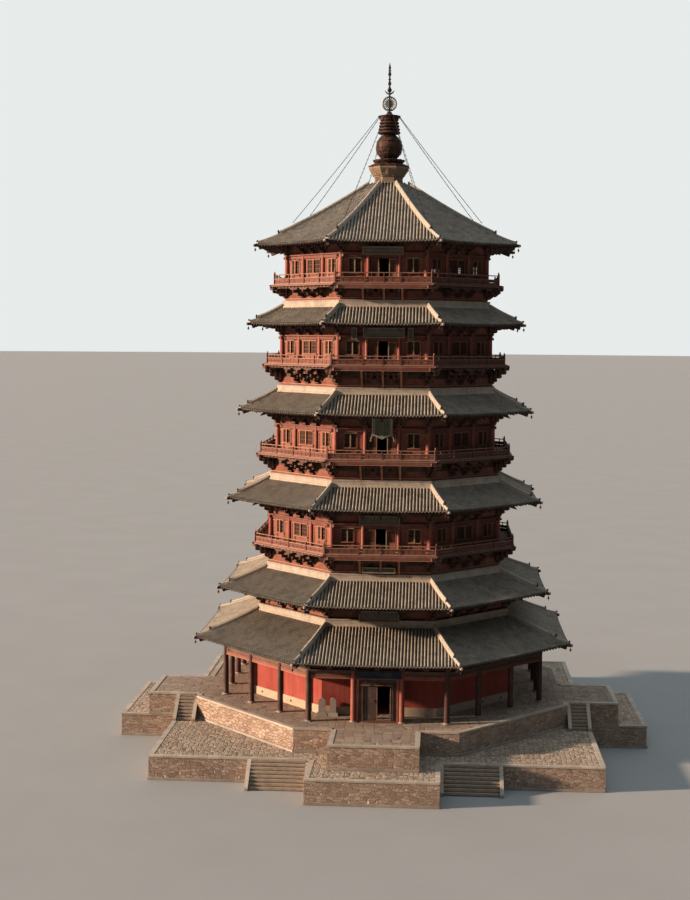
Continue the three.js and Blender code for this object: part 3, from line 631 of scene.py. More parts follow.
iron("old_iron", (0.035, 0.028, 0.024), (0.16, 0.06, 0.032), 0.22)
iron("dark_iron", (0.03, 0.027, 0.025), (0.09, 0.055, 0.038), 0.12)
iron("pale_iron", (0.28, 0.265, 0.24), (0.32, 0.24, 0.175), 0.14)
print("finishes:", ", ".join(FINISHES))

# %% [markdown]
# ## Parts, gathered into shapes
# The tower is made of thousands of small sawn and moulded parts, most of them repeated around the
# octagon. Building each one as an object would be slow, and modifiers would hide what happens. So a
# Shape collects points and faces in numpy arrays. One side is made facing south, then turned to the
# other sides. Every part also keeps a map in real metres along its own grain, and a number of its own,
# so that a finish can run along a board and give each board a slightly different tone.

# %% The shape that collects parts
COATS = list(FINISHES)
BLOCK_FACES = [(3, 2, 1, 0), (4, 5, 6, 7), (0, 1, 5, 4), (1, 2, 6, 5), (2, 3, 7, 6), (3, 0, 4, 7)]
TONES = 61


def turned(angle, x=0.0, y=0.0, z=0.0):
    """A placement: first moved by x, y and z, and then turned about the tower's axis."""
    cos, sin = math.cos(angle), math.sin(angle)
    turn = np.array([[cos, -sin, 0, 0], [sin, cos, 0, 0], [0, 0, 1, 0], [0, 0, 0, 1.0]])
    move = np.eye(4)
    move[:3, 3] = (x, y, z)
    return turn @ move


ALL_SIDES = [turned(TURN * side) for side in range(SIDES)]
ALL_CORNERS = [turned(TURN * (side + 0.5)) for side in range(SIDES)]


def arc(centre, radius, start, finish, steps):
    """Points along an arc, each as a place across and a place up."""
    angles = np.linspace(start, finish, steps)
    return [(centre[0] + radius * math.cos(a), centre[1] + radius * math.sin(a)) for a in angles]


def circle(radius, steps, centre=(0, 0), start=0.0):
    return arc(centre, radius, start, start + 2 * math.pi, steps + 1)[:-1]


def span(sign, near, far):
    """From one place to another, in rising order, on the right side (1) or the left side (-1)."""
    return sorted((sign * near, sign * far))


def face_marks(corners, grain):
    """Each corner's place on its face, in metres along the grain and across it."""
    normal = np.cross(corners[1] - corners[0], corners[2] - corners[0])
    if np.linalg.norm(normal) < 1e-12:
        normal = np.cross(corners[2] - corners[0], corners[-1] - corners[0])
    normal = normal / max(np.linalg.norm(normal), 1e-12)
    along = grain - normal * (grain @ normal)
    if np.linalg.norm(along) < 0.05:
        other = np.roll(np.array((1.0, 0.0, 0.0)), int(np.argmin(np.abs(normal))))
        along = other - normal * (other @ normal)
    along = along / np.linalg.norm(along)
    return np.stack([corners @ along, corners @ np.cross(normal, along)], axis=1)


class Shape:
    """Parts of one piece, in real metres."""

    def __init__(self):
        self.columns = {key: [] for key in ("points", "loops", "sizes", "coats", "soft", "marks", "parts")}
        self.point_count = 0
        self.part_count = 0

    def keep(self, points, loops, sizes, coats, soft, marks, parts):
        values = (points, loops + self.point_count, sizes, coats, soft, marks, parts + self.part_count)
        for column, value in zip(self.columns.values(), values):
            column.append(value)
        self.point_count += len(points)
        self.part_count += int(parts.max()) + 1

    def part(self, points, faces, coat, grain=None, soft=False):
        """One part from its points and faces."""
        points = np.asarray(points, float)
        if grain is None:
            grain = np.eye(3)[int(np.argmax(np.ptp(points, axis=0)))]
        marks = np.concatenate([face_marks(points[list(face)], np.asarray(grain, float)) for face in faces])
        marks -= marks.mean(axis=0)
        loops = np.concatenate([np.array(face) for face in faces])
        sizes = np.array([len(face) for face in faces])
        coats = np.full(len(faces), COATS.index(coat))
        self.keep(points, loops, sizes, coats, np.full(len(faces), soft), marks, np.zeros(len(loops), int))

    def grid(self, points, coat, soft=False, closed=False):
        """A sheet through rows of points. The map runs along the rows and then across them."""
        points = np.asarray(points, float)
        rows, count = points.shape[:2]
        if closed:
            points = np.concatenate([points, points[:, :1]], axis=1)
            count += 1
        along = np.linalg.norm(np.diff(points, axis=1), axis=2)
        across = np.linalg.norm(np.diff(points, axis=0), axis=2)
        u = np.concatenate([np.zeros((rows, 1)), np.cumsum(along, axis=1)], axis=1)
        v = np.concatenate([np.zeros((1, count)), np.cumsum(across, axis=0)], axis=0)
        u -= u.mean()
        v -= v.mean()
        number = np.arange(rows * count).reshape(rows, count)
        quads = np.stack([number[:-1, :-1], number[:-1, 1:], number[1:, 1:], number[1:, :-1]], axis=-1)
        loops = quads.reshape(-1)
        faces = len(loops) // 4
        numbers = COATS.index(coat) if isinstance(coat, str) else coat
        coats = np.broadcast_to(numbers, (rows - 1, count - 1)).reshape(-1)
        softness = np.broadcast_to(np.asarray(soft), (rows - 1, count - 1)).reshape(-1)
        marks = np.stack([u.reshape(-1)[loops], v.reshape(-1)[loops]], axis=1)
        self.keep(
            points.reshape(-1, 3), loops, np.full(faces, 4), coats, softness, marks,
            np.zeros(len(loops), int),
        )

    def joined(self):
        return [np.concatenate(column) for column in self.columns.values()]

    def put(self, other, placements):
        """The other shape's parts, once at each placement."""
        points, *rest = other.joined()
        for placement in placements:
            self.keep(points @ placement[:3, :3].T + placement[:3, 3], *rest)
        return self

    def block(self, x0, x1, y0, y1, z0, z1, coat, top=(1, 1)):
        """An upright block. Its top face may be wider or narrower than its foot."""
        mid_x, mid_y = (x0 + x1) / 2, (y0 + y1) / 2
        half_x, half_y = (x1 - x0) / 2, (y1 - y0) / 2
        corners = []
        for z, (grow_x, grow_y) in ((z0, (1, 1)), (z1, top)):
            for side_x, side_y in ((-1, -1), (1, -1), (1, 1), (-1, 1)):
                corners.append((mid_x + side_x * half_x * grow_x, mid_y + side_y * half_y * grow_y, z))
        self.part(corners, BLOCK_FACES, coat)

    def stud(self, x, y, half_x, half_y, z0, z1, coat, top=(1, 1)):
        """An upright block around a spot."""
        self.block(x - half_x, x + half_x, y - half_y, y + half_y, z0, z1, coat, top)

    def bar(self, start, end, width, height, coat, up=(0, 0, 1)):
        """A straight bar between two points, its ends square."""
        start, end = np.asarray(start, float), np.asarray(end, float)
        axis = (end - start) / np.linalg.norm(end - start)
        side = np.cross(up, axis)
        side /= np.linalg.norm(side)
        rise = np.cross(axis, side)
        ring = [(-1, -1), (1, -1), (1, 1), (-1, 1)]
        corners = [
            place + side * (width / 2 * across) + rise * (height / 2 * above)
            for place in (start, end) for across, above in ring
        ]
        self.part(corners, BLOCK_FACES, coat, grain=axis)

    def pole(self, start, end, radius, coat, steps=8, end_radius=None):
        """A round bar between two points, with both ends closed."""
        start, end = np.asarray(start, float), np.asarray(end, float)
        axis = (end - start) / np.linalg.norm(end - start)
        side = np.cross((0, 0, 1) if abs(axis[2]) < 0.9 else (1, 0, 0), axis)
        side /= np.linalg.norm(side)
        rise = np.cross(axis, side)
        angles = np.arange(steps) * 2 * math.pi / steps
        outward = np.cos(angles)[:, None] * side + np.sin(angles)[:, None] * rise
        far = radius if end_radius is None else end_radius
        points = np.concatenate([start + outward * radius, end + outward * far])
        walls = [(i, (i + 1) % steps, steps + (i + 1) % steps, steps + i) for i in range(steps)]
        self.part(points, walls, coat, grain=axis, soft=True)
        ends = [tuple(range(steps))[::-1], tuple(range(steps, 2 * steps))]
        self.part(points, ends, coat, grain=side)

    def lathe(self, profile, coat, steps=24, centre=(0, 0), soft=True):
        """A turned piece from a profile of radius and height, from foot to top."""
        rows = [[(*spot, height) for spot in circle(radius, steps, centre)] for radius, height in profile]
        self.grid(np.array(rows), coat, soft=soft, closed=True)

    def hoop(self, centre, axes, radius, tube, coat, steps, tube_steps):
        """A round ring. Its plane is that of the first two of three directions."""
        first, second, side = np.array(axes, float)
        rows = []
        for a in np.arange(steps) * 2 * math.pi / steps:
            outward = first * math.cos(a) + second * math.sin(a)
            rows.append([centre + outward * (radius + x) + side * y for x, y in circle(tube, tube_steps)])
        self.grid(np.array(rows + rows[:1]), coat, soft=True, closed=True)

    def plate(self, outline, thickness, coat, place=(0, 0, 0), across=(1, 0, 0), up=(0, 0, 1)):
        """A flat board of any outline, which is given across and up from a place."""
        across, up = np.asarray(across, float), np.asarray(up, float)
        out = np.cross(across, up)
        flat = np.asarray(place, float) + np.outer([a for a, _ in outline], across)
        flat = flat + np.outer([b for _, b in outline], up)
        count = len(outline)
        points = np.concatenate([flat - out * thickness / 2, flat + out * thickness / 2])
        faces = [tuple(range(count))[::-1], tuple(range(count, 2 * count))]
        faces += [(i, (i + 1) % count, count + (i + 1) % count, count + i) for i in range(count)]
        self.part(points, faces, coat)

    def side_run(self, profile, coat):
        """A moulding along the south side, mitred at both ends, from a profile of apothem and height."""
        rows = [
            [(-apothem * HALF_SIDE, -apothem, height), (apothem * HALF_SIDE, -apothem, height)]
            for apothem, height in profile
        ]
        self.grid(np.array(rows + rows[:1]), coat)


# %% Making the mesh
def make(shape, name, body="tower", hides=()):
    """Turns a shape into an object of the half-size model, which rides on a body."""
    points, loops, sizes, coats, soft, marks, parts = shape.joined()
    used, slots = np.unique(coats, return_inverse=True)
    mesh = bpy.data.meshes.new(name)
    mesh.vertices.add(len(points))
    mesh.vertices.foreach_set("co", (points * SCALE).ravel())
    mesh.loops.add(len(loops))
    mesh.loops.foreach_set("vertex_index", loops.astype(np.int32))
    mesh.polygons.add(len(sizes))
    starts = np.concatenate([[0], np.cumsum(sizes)[:-1]])
    mesh.polygons.foreach_set("loop_start", starts.astype(np.int32))
    mesh.update(calc_edges=True)
    mesh.polygons.foreach_set("material_index", slots.astype(np.int32))
    mesh.polygons.foreach_set("use_smooth", soft.astype(bool))
    tones = random.Random(name)
    shift = np.array([tones.randrange(TONES) for _ in range(shape.part_count)]) * PART_STRIDE
    marks = marks.copy()
    marks[:, 0] += shift[parts] + PART_STRIDE / 2
    layer = mesh.uv_layers.new(name="part")
    layer.data.foreach_set("uv", marks.ravel())
    for number in used:
        mesh.materials.append(FINISHES[COATS[number]])
    mesh.validate()
    piece = bpy.data.objects.new(name, mesh)
    bpy.context.scene.collection.objects.link(piece)
    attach(piece, body)
    if hides:
        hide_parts(*hides)
    print(f"{name}: {shape.part_count} parts, {int((sizes - 2).sum())} triangles")

# %% [markdown]
# ## Tiled roofs
# A roof side is a trapezoid that gets steeper towards its ridge and lifts slightly at its corners. It
# could be a smooth sheet with a striped bump, but the low sun and the ragged eave need real ribs. So a
# grid follows the surface: across it the heights go up and down as cover and pan tiles, and along it
# the rows run straight down from the ridge or the hip to the eave. Each cover tile row ends in a round
# end tile, and each pan row in a pointed drip tile.

# %% The tiled surface
TILE_EDGE = 0.06
CORNER_LIFT = 0.12
CORNER_SWEEP = 0.22
ROOF_CURVE = 1.18
TILE_ROWS = 9
TILE_SECTION = [
    (-0.5, -0.02, "pan_tile"), (-0.27, 0.0, "cover_tile"), (-0.22, 0.055, "cover_tile"),
    (-0.09, 0.09, "cover_tile"), (0.09, 0.09, "cover_tile"), (0.22, 0.055, "cover_tile"),
    (0.27, 0.0, "pan_tile"),
]


def slope_share(roof, out, side_share):
    """How far down the slope a point lies, from 0 at the ridge to 1 at the eave."""
    run = roof.eave - roof.tile_start
    share = (out - roof.tile_start) / run
    for _ in range(3):
        share = (out - CORNER_SWEEP / TO_CORNER * share ** 2 * side_share ** 8 - roof.tile_start) / run
    return np.clip(share, 0, 1)


def tile_height(roof, x, out):
    """The height of the tiled surface above a point of the south side."""
    side_share = np.clip(np.abs(x) / (out * HALF_SIDE), 0, 1)
    share = slope_share(roof, out, side_share)
    rise = (roof.tile_top - roof.tile_edge) * (1 - share) ** ROOF_CURVE
    return roof.tile_edge + rise + CORNER_LIFT * share ** 2 * side_share ** 3


def eave_reach(roof, x):
    """How far out the eave's edge is at x."""
    out = np.full_like(np.asarray(x, float), roof.eave)
    for _ in range(4):
        side_share = np.clip(np.abs(x) / (out * HALF_SIDE), 0, 1)
        out = roof.eave + CORNER_SWEEP / TO_CORNER * side_share ** 8
    return out


def eave_lift(roof, x):
    return CORNER_LIFT * np.clip(np.abs(x) / (eave_reach(roof, x) * HALF_SIDE), 0, 1) ** 3


for roof in ROOFS.values():
    roof.tile_edge = roof.eave_foot + TILE_EDGE
    roof.tile_start = roof.ridge + (0.0 if roof.is_top else 0.06)
    roof.corner = (roof.eave + CORNER_SWEEP / TO_CORNER) * HALF_SIDE
    roof.rib_count = 2 * int(roof.corner / TILE_PITCH - 0.1) + 1
    print(roof.node, "eave", round(2 * roof.corner, 1), "m long,", roof.rib_count, "tile rows a side")


def rib_places(roof):
    return (np.arange(roof.rib_count) - (roof.rib_count - 1) / 2) * TILE_PITCH


def tiled_side(shape, roof):
    """The tiles of the south side."""
    section = [
        (rib + across * TILE_PITCH, up, coat)
        for rib in rib_places(roof) for across, up, coat in TILE_SECTION
    ]
    section.append((section[-1][0] + 0.23 * TILE_PITCH, -0.02, "pan_tile"))
    x, up = (np.array([point[axis] for point in section]) for axis in (0, 1))
    reach = eave_reach(roof, x)
    start = np.minimum(np.maximum(roof.tile_start - 0.05, np.abs(x) / HALF_SIDE), reach - 0.02)
    steps = np.linspace(0, 1, TILE_ROWS) ** 0.9
    out = start[:, None] + (reach - start)[:, None] * steps
    wide = np.repeat(x[:, None], TILE_ROWS, axis=1)
    height = tile_height(roof, wide, out) + up[:, None]
    points = np.stack([wide, -out, height], axis=2)
    coats = np.array([COATS.index(coat) for _, _, coat in section[:-1]])
    smooth = coats == COATS.index("cover_tile")
    shape.grid(points, np.repeat(coats[:, None], TILE_ROWS - 1, axis=1), smooth[:, None])


# %% The eave's edge, boards and rafters
SOFFIT_LIFT = -0.1
FLY_RAFTER = 0.13
ROUND_RAFTER = 0.075
RAFTER_STEP = 0.42
DRIP_TILE = [(-0.1, 0.0), (-0.09, -0.09), (0, -0.16), (0.09, -0.09), (0.1, 0.0)]


def soffit_height(roof, out, lift=SOFFIT_LIFT):
    """How high the eave's underside lies, straight from the wall out. lift is for its outer edge."""
    share = (np.asarray(out, float) - roof.wall) / (roof.eave - roof.wall)
    return roof.seat + (roof.eave_foot + lift - roof.seat) * share


def eave_edge(shape, roof, coat):
    """End tiles and drip tiles in one clay, and the boards at and under the eave, for one side."""
    ribs = rib_places(roof)
    for rib in ribs:
        out = float(eave_reach(roof, rib))
        height = float(tile_height(roof, rib, out)) + 0.015
        shape.plate(circle(0.085, 8), 0.05, coat, (rib, -out - 0.02, height))
        shape.plate(circle(0.045, 8), 0.03, coat, (rib, -out - 0.05, height))
    for drip in ribs[:-1] + TILE_PITCH / 2:
        out = float(eave_reach(roof, drip))
        height = float(tile_height(roof, drip, out))
        shape.plate(DRIP_TILE, 0.03, coat, (drip, -out - 0.01, height))
    x = np.linspace(-1, 1, 33) * roof.corner
    reach = eave_reach(roof, x)
    lift = eave_lift(roof, x)
    profile = [
        (-0.04, roof.tile_edge - 0.03), (-0.04, roof.tile_edge - 0.1), (-0.14, roof.tile_edge - 0.1),
        (-0.14, roof.eave_foot + SOFFIT_LIFT),
    ]
    rows = [
        np.stack([x * (reach + back) / reach, -(reach + back), lift + height], axis=1)
        for back, height in profile
    ]
    shape.grid(np.stack(rows[::-1]), "eave_wood")
    shares = np.linspace(-1, 1, 25)
    rows = []
    for step in np.linspace(0, 1, 5):
        out = roof.wall + (roof.eave - 0.14 - roof.wall) * step
        sweep = CORNER_SWEEP * step ** 2 * np.abs(shares) ** 8 / TO_CORNER
        height = soffit_height(roof, out) + CORNER_LIFT * step ** 2 * np.abs(shares) ** 3
        rows.append(np.stack([(out + sweep) * HALF_SIDE * shares, -(out + sweep), height], axis=1))
    shape.grid(np.stack(rows), "eave_wood")


def rafters(shape, roof):
    """Square flying rafters over round eave rafters, for the south side."""
    count = int(roof.corner / RAFTER_STEP)
    for x in (np.arange(2 * count + 1) - count) * RAFTER_STEP:
        reach = float(eave_reach(roof, x))
        lift = float(eave_lift(roof, x))
        hip = abs(x) / HALF_SIDE + 0.12
        tip = reach - 0.1
        root = max(tip - 1.25, hip)
        if tip - root > 0.15:
            ends = [(x, -out, float(soffit_height(roof, out)) + lift * (out / reach) ** 6 - FLY_RAFTER / 2)
                    for out in (root, tip)]
            shape.bar(*ends, FLY_RAFTER, FLY_RAFTER, "eave_wood")
        root, tip = max(roof.wall + 0.05, hip), reach - 0.85
        if tip - root > 0.2:
            drop = FLY_RAFTER + ROUND_RAFTER
            ends = [(x, -out, float(soffit_height(roof, out)) - drop * (0.3 + 0.7 * step))
                    for out, step in ((root, 0), (tip, 1))]
            shape.pole(*ends, ROUND_RAFTER, "eave_wood", steps=6)


# %% [markdown]
# A corner beam carries each hip out past the tiles. Its tip has a pale end cap and a small iron bell.
# The hip above it is a stack of flat tiles that ends, about three quarters of the way down, in an
# upright beast; a lower ridge goes on from there to the corner. Both follow the surface where two roof
# sides meet, so a cross-section is swept along that line.

# %% Hips, beasts and corner beams
HIP_HALF = [
    (-0.22, -0.05), (-0.22, 0.1), (-0.15, 0.13), (-0.15, 0.28), (-0.19, 0.31), (-0.19, 0.36),
    (-0.09, 0.4), (-0.06, 0.48),
]
LOW_HIP_HALF = [(-0.18, -0.05), (-0.18, 0.08), (-0.12, 0.11), (-0.12, 0.18), (-0.06, 0.25)]
BEAST_OUTLINE = [
    (-0.24, 0.0), (0.2, 0.0), (0.22, 0.16), (0.12, 0.3), (0.14, 0.42), (0.28, 0.46), (0.31, 0.53),
    (0.2, 0.57), (0.14, 0.64), (0.17, 0.76), (0.1, 0.95), (0.06, 0.8), (-0.01, 0.73), (-0.08, 0.84),
    (-0.13, 0.66), (-0.14, 0.48), (-0.22, 0.34), (-0.19, 0.2),
]
TIP_OUTLINE = [(-0.1, 0.0), (0.06, 0.0), (0.12, 0.1), (0.07, 0.2), (-0.02, 0.17), (-0.1, 0.12)]
BEAST_SIZE = 0.42
HIP_SIZE = 0.85


def hip_point(roof, share, above=0.0):
    """A point of the hip's foot, for a corner turned to the south."""
    out = roof.tile_start + (roof.eave - roof.tile_start) * share
    sweep = CORNER_SWEEP / TO_CORNER * share ** 2
    height = float(tile_height(roof, (out + sweep) * HALF_SIDE, np.array(out + sweep)))
    return np.array((0.0, -(out + sweep) * TO_CORNER, height + above))


def swept(shape, roof, half_section, shares):
    """A stack of clay along the hip, from the left half of its cross-section."""
    section = half_section + [(-across, up) for across, up in half_section[::-1]]
    rows = []
    for share in shares:
        centre = hip_point(roof, share)
        rows.append([(across * HIP_SIZE, centre[1], centre[2] + up * HIP_SIZE) for across, up in section])
    points = np.array(rows)
    shape.grid(np.swapaxes(points, 0, 1), "hip_clay")
    for row, order in ((points[0], 1), (points[-1], -1)):
        shape.part(row, [tuple(range(len(row)))[::order]], "hip_clay")


def hip(roof):
    """One hip with its beast, for a corner turned to the south."""
    shape = Shape()
    first, beast_share, last = (0.03, 0.8, 0.985) if roof.is_top else (0.0, 0.77, 0.985)
    swept(shape, roof, HIP_HALF, np.linspace(first, beast_share, 9))
    swept(shape, roof, LOW_HIP_HALF, np.linspace(beast_share, last, 5))
    beast = hip_point(roof, beast_share + 0.01, 0.2 * HIP_SIZE)
    outline = [(a * BEAST_SIZE, b * BEAST_SIZE) for a, b in BEAST_OUTLINE]
    slim = [(a * 0.7, b * 0.8) for a, b in outline]
    tip = hip_point(roof, last, 0.1)
    for points, thickness, place in ((outline, 0.1, beast), (slim, 0.17, beast), (TIP_OUTLINE, 0.1, tip)):
        shape.plate(points, thickness, "beast_clay", place, across=(0, -1, 0))
    return shape


BEAM_CAP = [(0.12, 0.02), (0.14, 0.05), (0.14, 0.16), (0.1, 0.21), (0.04, 0.23)]
BELL = [(0.02, -0.22), (0.09, -0.38), (0.11, -0.38), (0.08, -0.28), (0.06, -0.18), (0.02, -0.16)]
BELL_VANE = [(-0.05, 0.0), (0.0, -0.07), (0.05, 0.0), (0.0, 0.02)]


def corner_beam(roof):
    """The beam under a hip, with its end cap and bell, for a corner turned to the south."""
    shape = Shape()
    root = roof.wall * TO_CORNER - 0.2
    reach = -hip_point(roof, 1.0)[1]
    low = float(soffit_height(roof, roof.wall)) - 0.35
    high = roof.eave_foot + CORNER_LIFT - 0.24
    shape.bar((0, -root, low), (0, -reach + 0.35, high - 0.12), 0.3, 0.34, "eave_wood")
    shape.bar((0, -reach + 2.2, high + 0.12), (0, -reach - 0.16, high + 0.14), 0.26, 0.26, "eave_wood")
    rows = [
        [(x, -reach - 0.06 - along, high + 0.14 + z) for x, z in circle(radius, 8, start=TURN / 2)]
        for radius, along in BEAM_CAP
    ]
    shape.grid(np.array(rows), "ridge_plaster", soft=True, closed=True)
    shape.part(np.array(rows[-1]), [tuple(range(8))], "ridge_plaster")
    hook = -reach - 0.05
    shape.pole((0, hook, high + 0.02), (0, hook, high - 0.16), 0.012, "dark_iron", steps=4)
    shape.lathe([(radius, high + up) for radius, up in BELL], "dark_iron", steps=8, centre=(0, hook))
    shape.pole((0, hook, high - 0.26), (0, hook, high - 0.45), 0.012, "dark_iron", steps=4)
    shape.plate(BELL_VANE, 0.02, "dark_iron", (0, hook, high - 0.46))
    return shape


# %% Ridge bands
RIDGE_PROFILE = [
    (0.02, -0.06), (0.16, -0.04), (0.13, 0.06), (0.04, 0.2), (0.0, 0.5), (0.03, 0.56), (0.03, 0.62),
    (-0.04, 0.66), (-0.3, 0.66), (-0.35, 0.6), (-0.35, -0.06),
]


def ridge_band(roof):
    """The plastered band at the head of a lean-to roof, for the south side."""
    shape = Shape()
    shape.side_run([(roof.ridge + out, roof.tile_top + up) for out, up in RIDGE_PROFILE], "ridge_plaster")
    return shape


# %% Making the six roofs
for number, roof in ROOFS.items():
    south, side = Shape(), Shape()
    # Painted light: the south side's end and drip tiles take the pale cover clay and the other sides' the
    # dark pan clay, so the south eave edge reads as lit.
    for shape, coat in ((south, "cover_tile"), (side, "pan_tile")):
        tiled_side(shape, roof)
        eave_edge(shape, roof, coat)
    tiles = Shape().put(south, ALL_SIDES[:1]).put(side, ALL_SIDES[1:])
    make(tiles, f"tiles_{number}", hides=(roof.node,))
    side = Shape()
    rafters(side, roof)
    corner = corner_beam(roof)
    make(Shape().put(side, ALL_SIDES).put(corner, ALL_CORNERS), f"rafters_{number}")
    ridges = Shape().put(hip(roof), ALL_CORNERS)
    if not roof.is_top:
        ridges.put(ridge_band(roof), ALL_SIDES)
    make(ridges, f"ridges_{number}")

# %% [markdown]
# ## Bracket sets
# Between each wall and its eave stand the bracket sets: a base block, then arms in tiers that step
# outwards and sideways, with a small cup block under each crossing, and long pointed levers on top. At
# this scale a set must be real parts, because its shadows give the dark lacework under every eave. One
# function builds the set of a straight wall and that of a corner, with any number of tiers.

# %% Arms, levers and cup blocks
ARM_THICKNESS = 0.17
ARM_DEPTH = 0.24
CUP_HALF = 0.1053


def cup(shape, x, y, z, height):
    shape.stud(x, y, CUP_HALF, CUP_HALF, z, z + height, "bracket_wood", top=(1.28, 1.28))


def side_arm(shape, out, length, z, direction):
    """An arm along the wall with rounded-up ends."""
    half = length / 2
    outline = [
        (-half, 0.13), (-half + 0.06, 0.05), (-half + 0.2, 0.0), (half - 0.2, 0.0), (half - 0.06, 0.05),
        (half, 0.13), (half, ARM_DEPTH), (-half, ARM_DEPTH),
    ]
    shape.plate(outline, ARM_THICKNESS, "bracket_wood", (0, -out, z), across=direction)


def out_arm(shape, reach, z, is_lever):
    """An arm that reaches outwards: a rounded one, or a lever with a drooping pointed end."""
    if is_lever:
        outline = [
            (-0.25, 0.16), (reach * 0.7, 0.0), (reach + 0.42, -0.2), (reach + 0.12, 0.12),
            (reach, ARM_DEPTH), (-0.25, ARM_DEPTH + 0.1),
        ]
    else:
        outline = [
            (-0.25, 0.0), (reach - 0.05, 0.0), (reach + 0.1, 0.05), (reach + 0.16, 0.14),
            (reach + 0.16, ARM_DEPTH), (-0.25, ARM_DEPTH),
        ]
    shape.plate(outline, ARM_THICKNESS, "bracket_wood", (0, 0, z), across=(0, -1, 0))


def arm_row(shape, directions, out, length, z, places, cup_height):
    """Arms along the wall, with a cup block at each place along them."""
    for direction in directions:
        side_arm(shape, out, length, z, direction)
        for place in places:
            cup(shape, direction[0] * place, direction[1] * place - out, z + ARM_DEPTH, cup_height)


def bracket_set(tiers, step, rise, base=0.3, corner=False, levers=True):
    """A set whose base block stands at the origin, on the wall's plane. Outwards is -y."""
    shape = Shape()
    stretch = TO_CORNER if corner else 1.0
    along = [(math.cos(TURN / 2), math.sin(TURN / 2), 0), (math.cos(TURN / 2), -math.sin(TURN / 2), 0)]
    directions = along if corner else [(1, 0, 0)]
    cup_height = rise - ARM_DEPTH + 0.02
    shape.stud(0, 0, 0.2, 0.2, 0, base * 0.45, "bracket_wood", top=(1.35, 1.35))
    shape.stud(0, 0, 0.27, 0.27, base * 0.45, base, "bracket_wood")
    for tier in range(1, tiers + 1):
        z = base + (tier - 1) * rise
        reach = tier * step * stretch
        is_lever = levers and tier >= 3
        out_arm(shape, reach, z, is_lever)
        if not is_lever:
            cup(shape, 0, -reach, z + ARM_DEPTH, cup_height)
        rows = [(0, (1.25 if tier % 2 else 1.8) * (0.75 if corner else 1))]
        if tier >= 2:
            rows.append(((tier - 1) * step * stretch, (1.7 if tier % 2 else 1.2) * (0.8 if corner else 1)))
        for out, length in rows:
            end = length / 2 - 0.13
            arm_row(shape, directions, out, length, z, (-end, end), cup_height)
    arm_row(shape, directions, tiers * step * stretch, 1.15, base + tiers * rise, (-0.45, 0, 0.45), 0.12)
    return shape


def beam(shape, out, thickness, low, high, coat):
    """A square beam along the south side with its outer face on a plane."""
    shape.side_run([(out, low), (out, high), (out - thickness, high), (out - thickness, low)], coat)


def purlin(shape, out, height, radius, coat):
    shape.side_run(circle(radius, 8, (out, height)), coat)


# For each eave: the foot of its sets, the number of tiers, and a tier's step outwards and its rise.
EAVE_SETS = {
    0: (9.3, 2, 0.5, 0.36),
    1: (13.42, 4, 0.46, 0.36),
    2: (22.4, 4, 0.46, 0.355),
    3: (31.4, 4, 0.42, 0.305),
    4: (40.1, 3, 0.48, 0.3),
    5: (47.9, 3, 0.43, 0.265),
}
SET_PLACES = (-BAY_SHARE, 0, BAY_SHARE)
PANEL_HEIGHT = 0.82


def with_corners(side, corner, out, height):
    """A side and a bracket set for the corner, all the way round."""
    lifted = [turn @ turned(0, 0, -out * TO_CORNER, height) for turn in ALL_CORNERS]
    return Shape().put(side, ALL_SIDES).put(corner, lifted)


def eave_brackets(number, plane, places=SET_PLACES):
    """All the sets under one eave, with the stacked beams behind them and the purlins on top."""
    roof = ROOFS[number]
    foot, tiers, step, rise = EAVE_SETS[number]
    side = Shape()
    straight = bracket_set(tiers, step, rise, levers=number > 0)
    for share in places:
        side.put(straight, [turned(0, share * plane * HALF_SIDE, -plane, foot)])
    z = foot + 0.3
    panel_top = foot + PANEL_HEIGHT
    beam(side, plane - 0.08, 0.1, foot, panel_top, "bracket_panel")
    while z + 0.26 < roof.seat - 0.05:
        if z > panel_top - 0.2:
            beam(side, plane - 0.03, 0.2, z, z + 0.26, "bracket_wood")
        z += rise
    beam(side, plane - 0.2, 0.12, foot, roof.seat, "eave_wood")
    for share, drop, radius in ((1.0, 0.4, 0.16), (0.5, 0.33, 0.12)):
        out = plane + tiers * step * share
        purlin(side, out, soffit_height(roof, out, 0) - drop, radius, "eave_wood")
    corner = bracket_set(tiers, step, rise, corner=True, levers=number > 0)
    return with_corners(side, corner, plane, foot)


for number in range(1, 6):
    brackets = eave_brackets(number, WALLS[number])
    make(brackets, f"brackets_{number}", hides=(f"eave_brackets_{number}",))

# %% [markdown]
# ## Balconies
# Each balcony stands on a ring behind the roof ridge below: a red plinth band, then smaller bracket
# sets that carry the edge of the floor, with plastered panels between them. The floor's joist ends
# show as a row of blocks under its edge. On the south side a few props lean out from the ridge to the
# floor's edge, as repairs.

# %% Stands, floors and props
PROP_PLACES = (-1.93, 0.05, 1.78)


